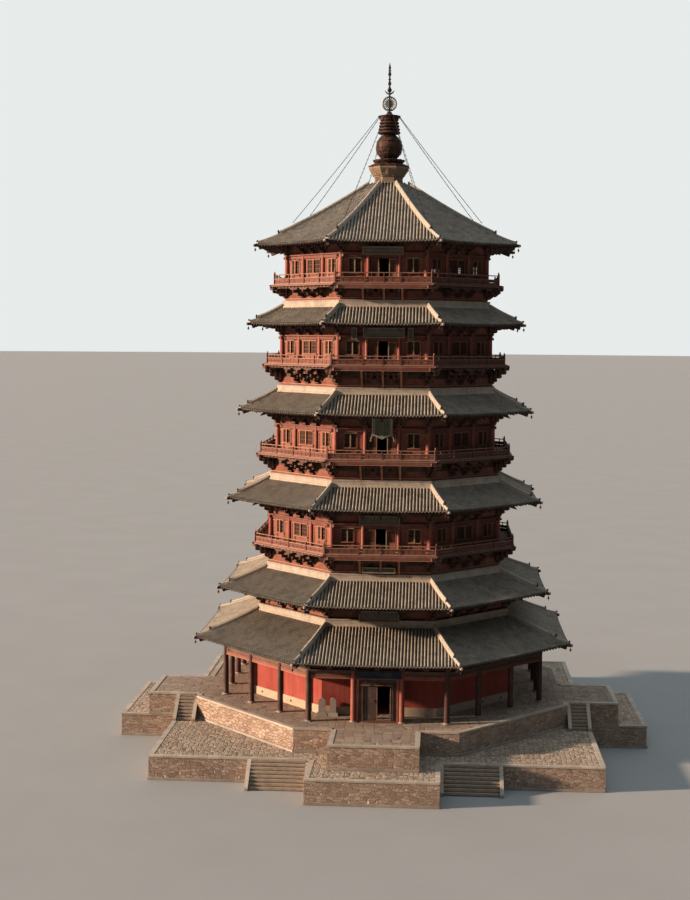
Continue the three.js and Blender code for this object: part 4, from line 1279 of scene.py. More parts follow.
def balcony(storey):
    side = Shape()
    plane, floor = storey.stand, storey.floor
    ridge_top = storey.below.ridge_top
    below = floor - 0.2
    band_top = ridge_top + 0.12
    beam(side, plane - 0.02, STAND_THICKNESS - 0.02, storey.below.seat, below, "eave_wood")
    beam(side, plane + 0.1, 0.2, ridge_top - 0.55, band_top, "red_beam")
    beam(side, plane + 0.16, 0.3, band_top, band_top + 0.1, "wall_frame")
    room = below - band_top - 0.1
    tiers = 3 if room > 1.3 else 2
    rise = (room - 0.2 - ARM_DEPTH - 0.1) / tiers
    step = (storey.deck - plane - 0.3) / tiers
    small = bracket_set(tiers, step, rise, base=0.2, levers=False)
    for share in SET_PLACES:
        side.put(small, [turned(0, share * plane * HALF_SIDE, -plane, band_top + 0.1)])
    panel_top = band_top + 0.1 + PANEL_HEIGHT * 0.75
    beam(side, plane + 0.02, 0.1, band_top, panel_top, "bracket_panel")
    beam(side, plane + 0.05, 0.2, panel_top, below, "eave_wood")
    beam(side, storey.deck - 0.2, 0.2, below - 0.18, below, "bracket_wood")
    beam(side, storey.deck, storey.deck - 0.05, below + 0.04, floor, "deck_wood")
    beam(side, storey.deck + 0.02, 0.1, below + 0.08, floor - 0.02, "rail_board")
    beam(side, storey.deck + 0.05, 0.14, below + 0.02, below + 0.08, "rail_wood")
    half = storey.deck * HALF_SIDE
    for x in np.arange(-half + 0.25, half - 0.2, 0.52):
        side.stud(x, -storey.deck + 0.36, 0.07, 0.24, below - 0.12, below + 0.03, "eave_wood")
    for x in np.arange(-half + 0.15, half - 0.1, 0.3):
        near = max(storey.wall - 0.1, abs(x) / HALF_SIDE + 0.1)
        if storey.deck - near > 0.3:
            side.block(x - 0.14, x + 0.14, -storey.deck + 0.02, -near, floor, floor + 0.02, "deck_wood")
    corner = bracket_set(tiers, step, rise, base=0.2, corner=True, levers=False)
    return with_corners(side, corner, plane, band_top + 0.1)


def props(storey):
    """Square props under a beam along the edge of the floor, on the south side."""
    shape = Shape()
    foot, head = storey.below.ridge - 0.13, storey.deck - 0.1
    low, high = storey.below.ridge_top, storey.floor - 0.52
    half = storey.deck * HALF_SIDE - 0.12
    back = -storey.deck + 0.12
    shape.block(-half, half, back - 0.14, back, high + 0.1, high + 0.34, "red_beam")
    shape.block(-half, half, back - 0.16, back, high, high + 0.06, "wall_frame")
    for x in PROP_PLACES:
        shape.stud(x, -foot, 0.14, 0.14, low - 0.04, low + 0.05, "rail_board")
        shape.bar((x, -foot, low), (x, -head, high), 0.2, 0.18, "wall_frame")
        shape.stud(x, -head, 0.13, 0.13, high - 0.08, high, "rail_board")
    return shape


for number, storey in STOREYS.items():
    make(balcony(storey), f"balcony_timber_{number}", hides=(f"balcony_{number}",))
    make(props(storey), f"balcony_props_{number}")

# %% [markdown]
# ## Railings
# A railing has three posts a side, a thin pale hand rail that stands free over small struts, and boards
# in frames below. The posts run down past the edge of the floor, and on the south side they stand in
# line with the props. The corner posts stand higher and end in a turned knob.

# %% Railings
RAIL_POSTS = (-0.5, 0.0, 0.5)
SOUTH_POSTS = (-0.385, 0.01, 0.36)
KNOB = [(0.0, 0.0), (0.09, 0.0), (0.09, 0.03), (0.05, 0.06), (0.075, 0.12), (0.05, 0.18), (0.0, 0.2)]


def rail_side(storey, posts, drop):
    side = Shape()
    plane = storey.rail - 0.06
    floor, top = storey.floor + 0.02, storey.rail_top - 0.2
    half = plane * HALF_SIDE
    board_top = floor + 0.5
    beam(side, plane + 0.05, 0.1, floor, floor + 0.07, "rail_wood")
    beam(side, plane + 0.06, 0.12, board_top, board_top + 0.07, "rail_wood")
    purlin(side, plane, top - 0.05, 0.045, "rail_wood")
    places = [-half, *(share * half for share in posts), half]
    for x in places[1:-1]:
        side.block(x - 0.055, x + 0.055, -plane - 0.08, -plane + 0.06, floor - drop, top - 0.03, "rail_board")
    for left, right in zip(places, places[1:]):
        x0, x1 = left + 0.09, right - 0.09
        for low, high in ((floor + 0.07, floor + 0.25), (floor + 0.28, board_top)):
            side.block(x0, x1, -plane - 0.012, -plane + 0.012, low, high, "rail_board")
        panels = max(2, round((x1 - x0) / 0.62))
        for part in range(1, panels):
            x = x0 + (x1 - x0) * part / panels
            side.stud(x, -plane, 0.022, 0.03, floor + 0.07, board_top, "rail_board")
            if part % 2:
                side.stud(x, -plane, 0.04, 0.03, board_top + 0.07, top - 0.12, "rail_board", top=(0.6, 1))
                side.stud(x, -plane, 0.06, 0.045, top - 0.12, top - 0.09, "rail_wood")
    return side


def railing(storey):
    whole = Shape().put(rail_side(storey, RAIL_POSTS, 0.22), ALL_SIDES[1:])
    whole.put(rail_side(storey, SOUTH_POSTS, 0.52), ALL_SIDES[:1])
    post = Shape()
    out = (storey.rail - 0.06) * TO_CORNER
    top = storey.rail_top - 0.1
    post.stud(0, -out, 0.08, 0.08, storey.floor, top, "rail_board")
    post.lathe([(radius, top + up) for radius, up in KNOB], "rail_wood", steps=8, centre=(0, -out))
    tip, floor = storey.deck * TO_CORNER, storey.floor
    post.bar((0, -tip + 0.5, floor - 0.12), (0, -tip - 0.14, floor - 0.1), 0.14, 0.14, "rail_board")
    return whole.put(post, ALL_CORNERS)


for number, storey in STOREYS.items():
    make(railing(storey), f"rails_{number}", hides=(f"railing_{number}",))

# %% [markdown]
# ## Storey walls
# Round red columns stand at the corners and beside the middle bay. Between them are a low panelled wall,
# lattice windows and beams. The four main sides have a doorway in the middle bay, narrowed by lattice
# leaves that stand on both sides of it; the photo shows them fixed. Only the south doorways stand open.
# No daylight shows through them, so the other main sides have shut leaves in the doorway and boards
# behind the lattices. The north-east and north-west sides have such boards too, below the fifth storey.
# The windows are real openings, so the lattice is built from bars and the dark room shows through it.

# %% Lattice and panels
SILL = 1.0
HEAD = 0.55
WINDOW_WIDTH = 1.1
WIDE_WINDOW = 1.98
DOORWAY_WIDTH = 0.95
THRESHOLD = 0.15
LEAF_WAIST = 0.95
LATTICE_PITCH = 0.125
BAR_HALF = 0.025
NOSE = [(0.0, -0.4), (0.38, -0.4), (0.45, -0.3), (0.38, -0.2), (0.45, -0.14), (0.0, -0.14)]


def framed(shape, x0, x1, out, z0, z1, coat, width=0.09, depth=0.1):
    """Four bars around a rectangle on the south side."""
    for left, right, low, high in (
        (x0, x1, z0, z0 + width), (x0, x1, z1 - width, z1),
        (x0, x0 + width, z0 + width, z1 - width), (x1 - width, x1, z0 + width, z1 - width),
    ):
        shape.block(left, right, -out, -out + depth, low, high, coat)


def lattice(shape, x0, x1, out, z0, z1):
    framed(shape, x0, x1, out, z0, z1, "lattice_wood", width=0.08)
    x0, x1, z0, z1 = x0 + 0.08, x1 - 0.08, z0 + 0.08, z1 - 0.08
    across = max(2, round((x1 - x0) / LATTICE_PITCH))
    up = max(2, round((z1 - z0) / (LATTICE_PITCH * 3)))
    for x in np.linspace(x0, x1, across + 1)[1:-1]:
        shape.stud(x, -out + 0.045, BAR_HALF, 0.015, z0, z1, "lattice_wood")
    for z in np.linspace(z0, z1, up + 1)[1:-1]:
        shape.block(x0, x1, -out + 0.035, -out + 0.065, z - BAR_HALF, z + BAR_HALF, "lattice_wood")


def panel_wall(shape, x0, x1, out, z0, z1):
    """Boards with a raised frame on them."""
    if x1 - x0 < 0.05 or z1 - z0 < 0.05:
        return
    shape.block(x0, x1, -out + 0.06, -out + 0.2, z0, z1, "wall_panel")
    if x1 - x0 > 0.35 and z1 - z0 > 0.35:
        inside = (x0 + 0.04, x1 - 0.04, out - 0.01, z0 + 0.04, z1 - 0.04)
        framed(shape, *inside, "wall_frame", width=0.07, depth=0.06)


def bay(shape, storey, x0, x1, opening, sill):
    """One bay: a wall with one opening in its middle."""
    out, floor, top = storey.wall - 0.06, storey.floor, storey.wall_top - 0.42
    middle = (x0 + x1) / 2
    left, right = middle - opening / 2, middle + opening / 2
    low, high = floor + sill, storey.wall_top - HEAD
    panel_wall(shape, x0, left, out, floor + 0.1, high)
    panel_wall(shape, right, x1, out, floor + 0.1, high)
    panel_wall(shape, left, right, out, floor + 0.1, low)
    shape.block(x0, x1, -out, -out + 0.14, high, top, "red_beam")
    return left, right, low, high


# %% Columns, windows and doorways
def red_column(shape, storey, x, out, base, low, high):
    """A tapered column on a stone base, from the radii of the base and of its own two ends."""
    floor = storey.floor
    shape.pole((x, -out, floor), (x, -out, storey.wall_top - 0.12), low, "red_column", 16, high)
    foot = [(base, floor), (base, floor + 0.08), (base - 0.08, floor + 0.16)]
    shape.lathe(foot, "base_stone", 16, (x, -out))


def trim(side, plane, x0, x1, low, high, coat):
    """A sill under a window and a board over it."""
    side.block(x0, x1, -plane - 0.04, -plane + 0.12, low - 0.08, low, "wall_frame")
    side.block(x0, x1, -plane - 0.02, -plane + 0.12, high, high + 0.08, coat)


def shutters(side, plane, left, right, low, high):
    """Boards behind a lattice."""
    side.block(left - 0.05, right + 0.05, -plane + 0.2, -plane + 0.23, low, high, "door_wood")


def small_window(side, storey, x0, x1, coat, is_shut):
    """The window beside the middle bay, with an upright bar in front of its lattice."""
    plane = storey.wall
    left, right, low, high = bay(side, storey, x0, x1, WINDOW_WIDTH, SILL)
    lattice(side, left, right, plane - 0.08, low, high)
    if is_shut:
        shutters(side, plane, left, right, low, high)
    side.stud((left + right) / 2, -plane + 0.03, 0.06, 0.05, low, high, coat)
    trim(side, plane, left - 0.08, right + 0.08, low, high, coat)


def wide_window(side, storey, x0, x1, is_shut):
    """The middle bay of a side without a doorway, with two lattices."""
    plane = storey.wall
    left, right, low, high = bay(side, storey, x0, x1, WIDE_WINDOW, SILL)
    middle = (left + right) / 2
    for near, far in ((left, middle), (middle, right)):
        lattice(side, near, far, plane - 0.08, low, high)
    if is_shut:
        shutters(side, plane, left, right, low, high)
    trim(side, plane, left - 0.1, right + 0.1, low, high, "wall_frame")
    side.block(middle - 0.06, middle + 0.06, -plane - 0.01, -plane + 0.1, low, high, "wall_frame")


def doorway(side, storey, x0, x1, is_shut):
    """The middle bay of a main side: a doorway between two fixed lattice leaves with boards below."""
    plane = storey.wall
    left, right, low, high = bay(side, storey, x0, x1, DOORWAY_WIDTH, THRESHOLD)
    middle, waist = (left + right) / 2, storey.floor + LEAF_WAIST
    # Painted light: the right leaf and the right jamb take paler finishes than the left ones, so the right
    # side of the doorway looks lit and the left side shaded.
    leaves = ((x0 + 0.04, left - 0.01, "lattice_wood"), (right + 0.01, x1 - 0.04, "wall_frame"))
    for near, far, coat in leaves:
        lattice(side, near, far, plane, waist, high - 0.05)
        side.block(near, far, -plane, -plane + 0.08, low, waist, coat)
        framed(side, near, far, plane + 0.04, low, high - 0.05, coat, width=0.1, depth=0.05)
    for x, coat in ((left - 0.04, "wall_frame"), (right + 0.04, "board_pale")):
        side.block(x - 0.05, x + 0.05, -plane - 0.06, -plane + 0.1, low, high - 0.02, coat)
    if is_shut:
        side.block(left, right, -plane + 0.12, -plane + 0.17, low, high, "door_wood")
        for near, far in ((left, middle), (middle, right)):
            inside = (near + 0.01, far - 0.01, plane - 0.08, low + 0.02, high - 0.02)
            framed(side, *inside, "red_beam", depth=0.05)
    side.block(left - 0.1, right + 0.1, -plane - 0.06, -plane + 0.2, storey.floor + 0.02, low, "red_beam")


def wall_side(storey, has_doorway, is_shut):
    side = Shape()
    plane, floor, top = storey.wall, storey.floor, storey.wall_top
    half = plane * HALF_SIDE
    column = half * BAY_SHARE
    for sign in (-1, 1):
        coat = "board_pale" if has_doorway else "wall_frame"
        small_window(side, storey, *span(sign, column + 0.2, half - 0.22), coat, is_shut)
    middle_bay = doorway if has_doorway else wide_window
    middle_bay(side, storey, -column + 0.2, column - 0.2, is_shut)
    for x in (-column, column):
        red_column(side, storey, x, plane - 0.04, 0.32, 0.2, 0.18)
    beam(side, plane + 0.03, 0.16, floor, floor + 0.14, "red_beam")
    beam(side, plane + 0.06, 0.22, top - 0.42, top - 0.12, "red_beam")
    beam(side, plane + 0.2, 0.5, top - 0.12, top, "red_beam")
    return side


def storey_wall(storey):
    is_dark = storey.number < 5
    whole = Shape()
    for has_doorway, is_shut, sides in (
        (True, False, ALL_SIDES[:1]), (False, False, ALL_SIDES[1::6]),
        (True, True, ALL_SIDES[2::2]), (False, is_dark, ALL_SIDES[3:6:2]),
    ):
        whole.put(wall_side(storey, has_doorway, is_shut), sides)
    corner = Shape()
    tip = storey.wall * TO_CORNER
    red_column(corner, storey, 0, tip - 0.08, 0.38, 0.27, 0.245)
    for sign in (-1, 1):
        direction = (sign * math.cos(TURN / 2), -math.sin(TURN / 2), 0)
        corner.plate(NOSE, 0.13, "bracket_wood", (0, -tip, storey.wall_top), across=direction)
    return whole.put(corner, ALL_CORNERS)


for number, storey in STOREYS.items():
    make(storey_wall(storey), f"wall_timber_{number}", hides=(f"storey_wall_{number}",))

# %% [markdown]
# ## Verandah and ground storey
# The ground storey has a thick red wall behind a ring of dark columns. The columns stand on stone
# bases, taper a little, and are tied at the top by two beams with a plate between them. The two columns
# beside the gate have newer red paint. The wall itself is the model's own solid with a limewash finish.
# Only its brick footing and the red frame of its passage are new.

# %% Columns and tie beams
COLUMN_RADIUS = 0.27
COLUMN_TOP = 9.28
BAY = 4.47
DRUM = [(0.0, 0.0), (0.33, 0.0), (0.34, 0.03), (0.31, 0.08), (0.28, 0.1), (0.0, 0.1)]
TIE_FOOT = 8.52
VERANDAH_PLACES = (-0.697, -0.349, 0, 0.349, 0.697)
# Each beam's distance in front of the columns' plane, its thickness, foot, top and paint.
VERANDAH_BEAMS = (
    (0.11, 0.22, TIE_FOOT, 8.86, "wall_panel"), (0.07, 0.14, 8.88, 8.96, "board_wood"),
    (0.11, 0.22, 8.98, 9.2, "red_beam"), (0.27, 0.54, 9.2, 9.32, "board_wood"),
    (0.13, 0.05, 8.47, 8.54, "rail_wood"), (0.12, 0.04, 8.74, 8.8, "rail_board"),
)


def verandah_column(shape, x, out, coat):
    shape.stud(x, -out, 0.38, 0.38, UPPER_TOP, UPPER_TOP + 0.04, "base_stone")
    drum = [(radius, UPPER_TOP + 0.04 + up) for radius, up in DRUM]
    shape.lathe(drum, "base_stone", 16, (x, -out))
    shape.pole((x, -out, UPPER_TOP + 0.14), (x, -out, COLUMN_TOP), COLUMN_RADIUS, coat, 16, 0.245)


def verandah_side(coat):
    side = Shape()
    for x in (-BAY / 2, BAY / 2):
        verandah_column(side, x, VERANDAH_PLANE, coat)
    for proud, *size in VERANDAH_BEAMS:
        beam(side, VERANDAH_PLANE + proud, *size)
    return side


verandah = Shape().put(verandah_side("red_column"), ALL_SIDES[:1])
verandah.put(verandah_side("column_wood"), ALL_SIDES[1:])
corner = Shape()
verandah_column(corner, 0, VERANDAH_PLANE * TO_CORNER, "column_wood")
verandah.put(corner, ALL_CORNERS)
verandah.put(eave_brackets(0, VERANDAH_PLANE, VERANDAH_PLACES), [turned(0)])
make(verandah, "verandah_timber", hides=("verandah_columns",))

# %% Brick footing of the red wall
FOOTING_TOP = UPPER_TOP + 0.8
PASSAGE_HALF = 1.65
JAMB_TOP = 8.1
LINTEL = (7.9, 8.15)
VENTS = (-3.6, 0.9, 3.5)


def dress(name, coat):
    """Gives one of the model's own solids another finish."""
    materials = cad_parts[name].data.materials
    materials.clear()
    materials.append(FINISHES[coat])


side = Shape()
side.side_run([
    (GROUND_WALL - 0.02, UPPER_TOP), (GROUND_WALL + 0.1, UPPER_TOP), (GROUND_WALL + 0.1, FOOTING_TOP - 0.05),
    (GROUND_WALL + 0.03, FOOTING_TOP), (GROUND_WALL - 0.02, FOOTING_TOP),
], "footing_brick")
for x in VENTS:
    vent = circle(0.11, 10, (x, UPPER_TOP + 0.4))
    side.plate(vent, 0.02, "dark_iron", (0, -GROUND_WALL - 0.1, 0))
footing = Shape().put(side, ALL_SIDES[1:])
south = Shape()
frame_depth = (-GROUND_WALL - 0.12, -GROUND_WALL + 0.15)
for sign in (-1, 1):
    foot = span(sign, PASSAGE_HALF + 0.02, (GROUND_WALL + 0.08) * HALF_SIDE)
    south.block(*foot, -GROUND_WALL - 0.1, -GROUND_WALL + 0.02, UPPER_TOP, FOOTING_TOP, "footing_brick")
    jamb = span(sign, PASSAGE_HALF - 0.09, PASSAGE_HALF + 0.1)
    south.block(*jamb, *frame_depth, UPPER_TOP, JAMB_TOP, "red_beam")
south.block(-PASSAGE_HALF - 0.1, PASSAGE_HALF + 0.1, *frame_depth, *LINTEL, "red_beam")
footing.put(south, [turned(0)])
make(footing, "wall_footing")
for name in ("south_left", "south_right", "south_head", "east", "north", "west"):
    dress("ground_wall_" + name, "limewash")

# %% [markdown]
# Two plain stone tablets with round heads stand on the verandah in front of the south wall,
# left of the gate, each on a low block of stone.

# %% Standing stones
TABLET_TOP = 6.12
TABLET_PLANE = 13.5
tablets = Shape()
for x, width in ((-5.3, 0.66), (-4.26, 0.6)):
    head = arc((0, TABLET_TOP - width / 2), width / 2, 0, math.pi, 11)
    outline = [(width / 2, UPPER_TOP + 0.26), *head, (-width / 2, UPPER_TOP + 0.26)]
    tablets.plate(outline, 0.16, "base_stone", (x, -TABLET_PLANE, 0))
    block = (x, -TABLET_PLANE, 0.5, 0.26, UPPER_TOP, UPPER_TOP + 0.3)
    tablets.stud(*block, "base_stone", top=(0.9, 0.85))
make(tablets, "standing_stones")

# %% [markdown]
# ## The entrance
# The middle bay of the verandah holds a timber gate: red posts, a lintel with a panelled transom above
# it, and two boarded leaves. One leaf is shut and the other stands open. Each leaf is a piece of its own
# that rides on its own body, so it turns about its pivot with the model's joint.

# %% Gate and leaves
GATE_HALF = 1.93
POST = GATE_HALF - 0.17
DOOR_HALF = 1.32
JAMB = 0.16
SILL_TOP = UPPER_TOP + 0.16
DOOR_HEAD = 7.85
PIVOT = 1.24
LEAF_BOARDS = 5
RIGHT_LEAF_OPEN = math.radians(-85)
UPRIGHT = ((1, 0, 0), (0, 0, 1), (0, 1, 0))


def gate():
    shape = Shape()
    plane = VERANDAH_PLANE
    front, back = -plane - 0.13, -plane + 0.13
    shape.block(-GATE_HALF, GATE_HALF, front, back, UPPER_TOP, SILL_TOP, "red_beam")
    shape.block(-GATE_HALF, GATE_HALF, front, back, DOOR_HEAD, DOOR_HEAD + 0.2, "column_wood")
    # Painted highlight: a thin pale strip along the lintel's front, low down.
    shape.block(-1.4, 1.4, front - 0.02, front, DOOR_HEAD + 0.03, DOOR_HEAD + 0.1, "rail_wood")
    for sign in (-1, 1):
        jamb, post = span(sign, DOOR_HALF, DOOR_HALF + JAMB), span(sign, POST, GATE_HALF + 0.02)
        shape.block(*jamb, front, back, SILL_TOP, DOOR_HEAD, "column_wood")
        shape.block(*post, front - 0.03, back, SILL_TOP, TIE_FOOT, "red_column")
        x0, x1 = span(sign, DOOR_HALF + JAMB, POST)
        shape.block(x0, x1, -plane - 0.05, -plane + 0.05, SILL_TOP, DOOR_HEAD, "door_wood")
        for low, high in ((SILL_TOP + 0.08, 5.5), (5.6, 6.7), (6.8, DOOR_HEAD - 0.08)):
            inside = (x0 + 0.02, x1 - 0.02, plane + 0.08, low, high)
            framed(shape, *inside, "door_wood", width=0.05, depth=0.05)
    foot = DOOR_HEAD + 0.2
    shape.block(-POST, POST, -plane - 0.04, -plane + 0.04, foot, TIE_FOOT, "door_wood")
    for number in range(4):
        x0 = -GATE_HALF + 0.06 + number * (2 * GATE_HALF - 0.12) / 4
        inside = (x0 + 0.03, x0 + 0.92, plane + 0.08, foot + 0.04, TIE_FOOT - 0.04)
        framed(shape, *inside, "column_wood", width=0.06, depth=0.05)
    for x in (-0.66, 0.66):
        shape.plate(circle(0.1, 6), 0.14, "column_wood", (x, front - 0.06, DOOR_HEAD + 0.1))
    return shape


def leaf(sign):
    """A boarded leaf from its pivot at the origin towards the middle, closed. sign is its side."""
    shape = Shape()
    low, high = SILL_TOP + 0.022, DOOR_HEAD - 0.022
    width = PIVOT - 0.011
    for number in range(LEAF_BOARDS):
        x0, x1 = span(-sign, width * number / LEAF_BOARDS, width * (number + 1) / LEAF_BOARDS)
        shape.block(x0 + 0.004, x1 - 0.004, -0.035, 0.035, low, high, "door_wood")
    for z in (low + 0.1, (low + high) / 2 - 0.08, high - 0.26):
        for front, back in ((0.035, 0.05), (-0.045, -0.035)):
            shape.block(*span(-sign, 0.06, width - 0.02), front, back, z, z + 0.16, "door_wood")
        for number in range(1, 7):
            x = -sign * width * number / 7
            shape.lathe([(0.0, -0.012), (0.035, -0.012), (0.03, 0.006), (0.0, 0.014)], "dark_iron", 8)
            last = shape.columns["points"][-1]
            last[:] = last[:, [0, 2, 1]] * (1, -1, 1) + (x, -0.046, z + 0.08)
    # Painted highlight: a thin pale strip on the leaf's face along its free edge.
    shape.block(*span(-sign, width - 0.07, width - 0.005), -0.046, -0.034, low, high, "rail_wood")
    shape.pole((0, 0, SILL_TOP + 0.002), (0, 0, DOOR_HEAD - 0.002), 0.06, "door_wood", 12)
    x = -sign * (width - 0.22)
    z = (low + high) / 2 + 0.25
    shape.plate(circle(0.09, 16, (x, z)), 0.03, "dark_iron", (0, -0.05, 0))
    shape.hoop((x, -0.085, z - 0.08), UPRIGHT, 0.12, 0.016, "dark_iron", 16, 6)
    return shape


make(gate(), "gate_timber", hides=("door_frame",))
place = turned(0, -PIVOT, -VERANDAH_PLANE)
make(Shape().put(leaf(-1), [place]), "left_leaf_boards", "left_leaf", hides=("door_leaf_left",))
place = turned(0, PIVOT, -VERANDAH_PLANE) @ turned(RIGHT_LEAF_OPEN)
make(Shape().put(leaf(1), [place]), "right_leaf_boards", "right_leaf", hides=("door_leaf_right",))

# %% [markdown]
# ## Hanging boards
# Nine name boards hang on the south side. They are left bare here: a frame, a panel of a few planks,
# and two pairs of iron hooks to the timber behind. Most lean forward a little, as such boards do.

# %% Boards
# For each board: its left and right ends, its foot and top, how far out it hangs, how far it leans
# forward, and how far out the timber is that its hooks reach.
BOARDS = {
    "board_5": (-1.98, 1.84, 47.66, 48.4, 10.95, 0.25, 9.8),
    "board_4": (-1.87, 2.04, 39.9, 40.85, 11.0, 0.25, 10.2),
    "board_4_left": (-2.97, -2.42, 39.7, 40.85, 10.8, 0.15, 10.2),
    "board_4_right": (2.32, 2.87, 39.7, 40.85, 10.8, 0.15, 10.2),
    "board_2": (-2.04, 1.8, 22.3, 23.25, 11.8, 0.2, 11.2),
    "board_2_low": (-1.72, 1.42, 17.74, 18.3, 11.88, 0.0, 11.55),
    "board_1": (-1.92, 1.85, 13.3, 14.45, 13.1, 0.4, 12.0),
    "board_0": (-1.95, 2.24, 8.6, 9.24, 15.72, 0.03, 15.5),
}
BOARD_PAINTS = {"board_2_low": ("board_wood", "board_pale"), "board_0": ("board_blue", "board_blue")}
FRAME_WIDTH = 0.11


def hooks(shape, foot, rise, low, high, half, behind):
    """Two pairs of iron hooks from a board to the timber behind it."""
    for a in (-half, half):
        for up, lift in ((high, 0.1), (low, 0.0)):
            eye = foot + rise * up + np.array((a, 0, 0))
            shape.pole(eye, (eye[0], -behind, eye[2] + lift), 0.02, "dark_iron", steps=6)


def hanging_board(x0, x1, z0, z1, out, lean, behind, coat, edge):
    """A framed board on the south side. lean is how far its top stands forward of its foot."""
    shape = Shape()
    rise = np.array((0, -lean, z1 - z0))
    rise /= np.linalg.norm(rise)
    foot = np.array(((x0 + x1) / 2, -out + lean / 2, z0))
    height = math.hypot(lean, z1 - z0)
    half = (x1 - x0) / 2
    face = foot + np.cross((1, 0, 0), rise) * 0.05
    planks = max(2, round(height / 0.3))
    for number in range(planks):
        low, high = height * number / planks + 0.004, height * (number + 1) / planks - 0.004
        shape.plate([(-half, low), (half, low), (half, high), (-half, high)], 0.06, coat, foot, up=rise)
    inner, top = half - FRAME_WIDTH, height - FRAME_WIDTH
    for a0, a1, b0, b1 in (
        (-half, half, 0, FRAME_WIDTH), (-half, half, top, height),
        (-half, -inner, FRAME_WIDTH, top), (inner, half, FRAME_WIDTH, top),
    ):
        shape.plate([(a0, b0), (a1, b0), (a1, b1), (a0, b1)], 0.1, edge, face, up=rise)
    hooks(shape, foot, rise, 0.08, height - 0.05, half * 0.7, behind)
    return shape


for name, size in BOARDS.items():
    paints = BOARD_PAINTS.get(name, ("board_wood", "board_edge"))
    make(hanging_board(*size, *paints), name)


# %% [markdown]
# The board of the third storey is an upright plaque. Its carved frame curves outwards at the foot and
# hangs down in a scalloped apron between the two sides. Each curve is a chain of short thick plates.

# %% The upright plaque
def ribbon(shape, points, width, place, rise):
    """A carved strip along a line of points on the board. Its plates overlap a little."""
    for start, end in zip(np.array(points), np.array(points[1:])):
        along = (end - start) / np.linalg.norm(end - start)
        across = np.array((along[1], -along[0])) * width / 2
        start, end = start - along * 0.02, end + along * 0.02
        outline = [start + across, end + across, end - across, start - across]
        shape.plate(outline, 0.12, "plaque_edge", place, up=rise)


def plaque():
    shape = Shape()
    rise = np.array((0, -0.3, 2.15)) / math.hypot(0.3, 2.15)
    front = np.cross((1, 0, 0), rise)
    foot = np.array((0.04, -11.15, 30.3))
    for number in range(5):
        left = -0.86 + 0.344 * number
        outline = [(left + 0.005, 0.34), (left + 0.339, 0.34), (left + 0.339, 2.12), (left + 0.005, 2.12)]
        shape.plate(outline, 0.06, "plaque_wood", foot, up=rise)
    face = foot + front * 0.05
    edge = [(0.9, 2.2), (0.9, 0.75), (0.93, 0.5), (1.0, 0.28), (1.09, 0.08), (1.1, -0.12)]
    apron = [(-0.92, 0.52), (-0.72, 0.44), (-0.55, 0.4), (-0.38, 0.32), (-0.2, 0.22), (0, 0.18)]
    apron += [(-a, b) for a, b in apron[-2::-1]]
    strips = []
    for sign in (-1, 1):
        strips.append(([(sign * a, b) for a, b in edge], 0.13))
        strips.append(([(sign * 0.74, 2.1), (sign * 0.74, 0.5)], 0.05))
    strips += [([(-0.96, 2.14), (0.96, 2.14)], 0.13), ([(-0.78, 1.96), (0.78, 1.96)], 0.05), (apron, 0.15)]
    for points, width in strips:
        ribbon(shape, points, width, face, rise)
    fan = [(-0.3, 0.34), (-0.16, 0.12), (0, 0.06), (0.16, 0.12), (0.3, 0.34), (0, 0.42)]
    shape.plate(fan, 0.09, "plaque_edge", face + front * 0.03, up=rise)
    hooks(shape, foot, rise, 0.5, 2.05, 0.6, 10.6)
    return shape


make(plaque(), "board_3")

# %% [markdown]
# ## The masonry base
# The two platforms keep the model's own solids with a masonry finish. Squared kerb stones lie along all
# their top edges, a low plinth runs round their feet, and the flights are rebuilt from single stone
# steps between sloping cheeks, because a step's edge line is what shows from the air.

# %% Kerbs
UPPER_APOTHEM = 18.18
UPPER_TERRACE = (23.2, -6.5, 0.6)
LOWER_HALF = 20.4
LOWER_TERRACE = (26.0, 6.5)
UPPER_SOUTH_HALF = 4.0
LOWER_SOUTH_HALF = 5.8
KERB_WIDTH = 0.46
KERB_HEIGHT = 0.17
KERB_LENGTH = 1.2
kerb_tones = random.Random(11)


def kerb(shape, start, end, top, coat="kerb_stone", width=KERB_WIDTH, height=KERB_HEIGHT, proud=0.05):
    """Kerb stones along an edge of a platform, which lies to the left of the way from start to end."""
    start, end = np.array((*start, top)), np.array((*end, top))
    run = np.linalg.norm(end - start)
    way = (end - start) / run
    left = np.array((-way[1], way[0], 0))
    middle = left * (width / 2 - proud) + np.array((0, 0, -height / 2 + 0.03))
    place = 0.0
    while place < run - 0.05:
        step = min(KERB_LENGTH * kerb_tones.uniform(0.8, 1.25), run - place)
        if run - place - step < 0.4:
            step = run - place
        near, far = start + way * (place + 0.006), start + way * (place + step - 0.006)
        shape.bar(near + middle, far + middle, width, height, coat)
        place += step


def outline_kerbs(points, top, **settings):
    """Kerbs along an outline. Every other edge lies a little higher, so corners don't share one plane."""
    shape = Shape()
    for number, (start, end) in enumerate(zip(points, points[1:])):
        kerb(shape, start, end, top + 0.012 * (number % 2), **settings)
    return shape


def whole_outline(right):
    """An outline all the way round, from its right half, which starts at the south terrace's front."""
    left = [(-x, y) for x, y in right[::-1]]
    return left[-2:] + right + left[:-1]


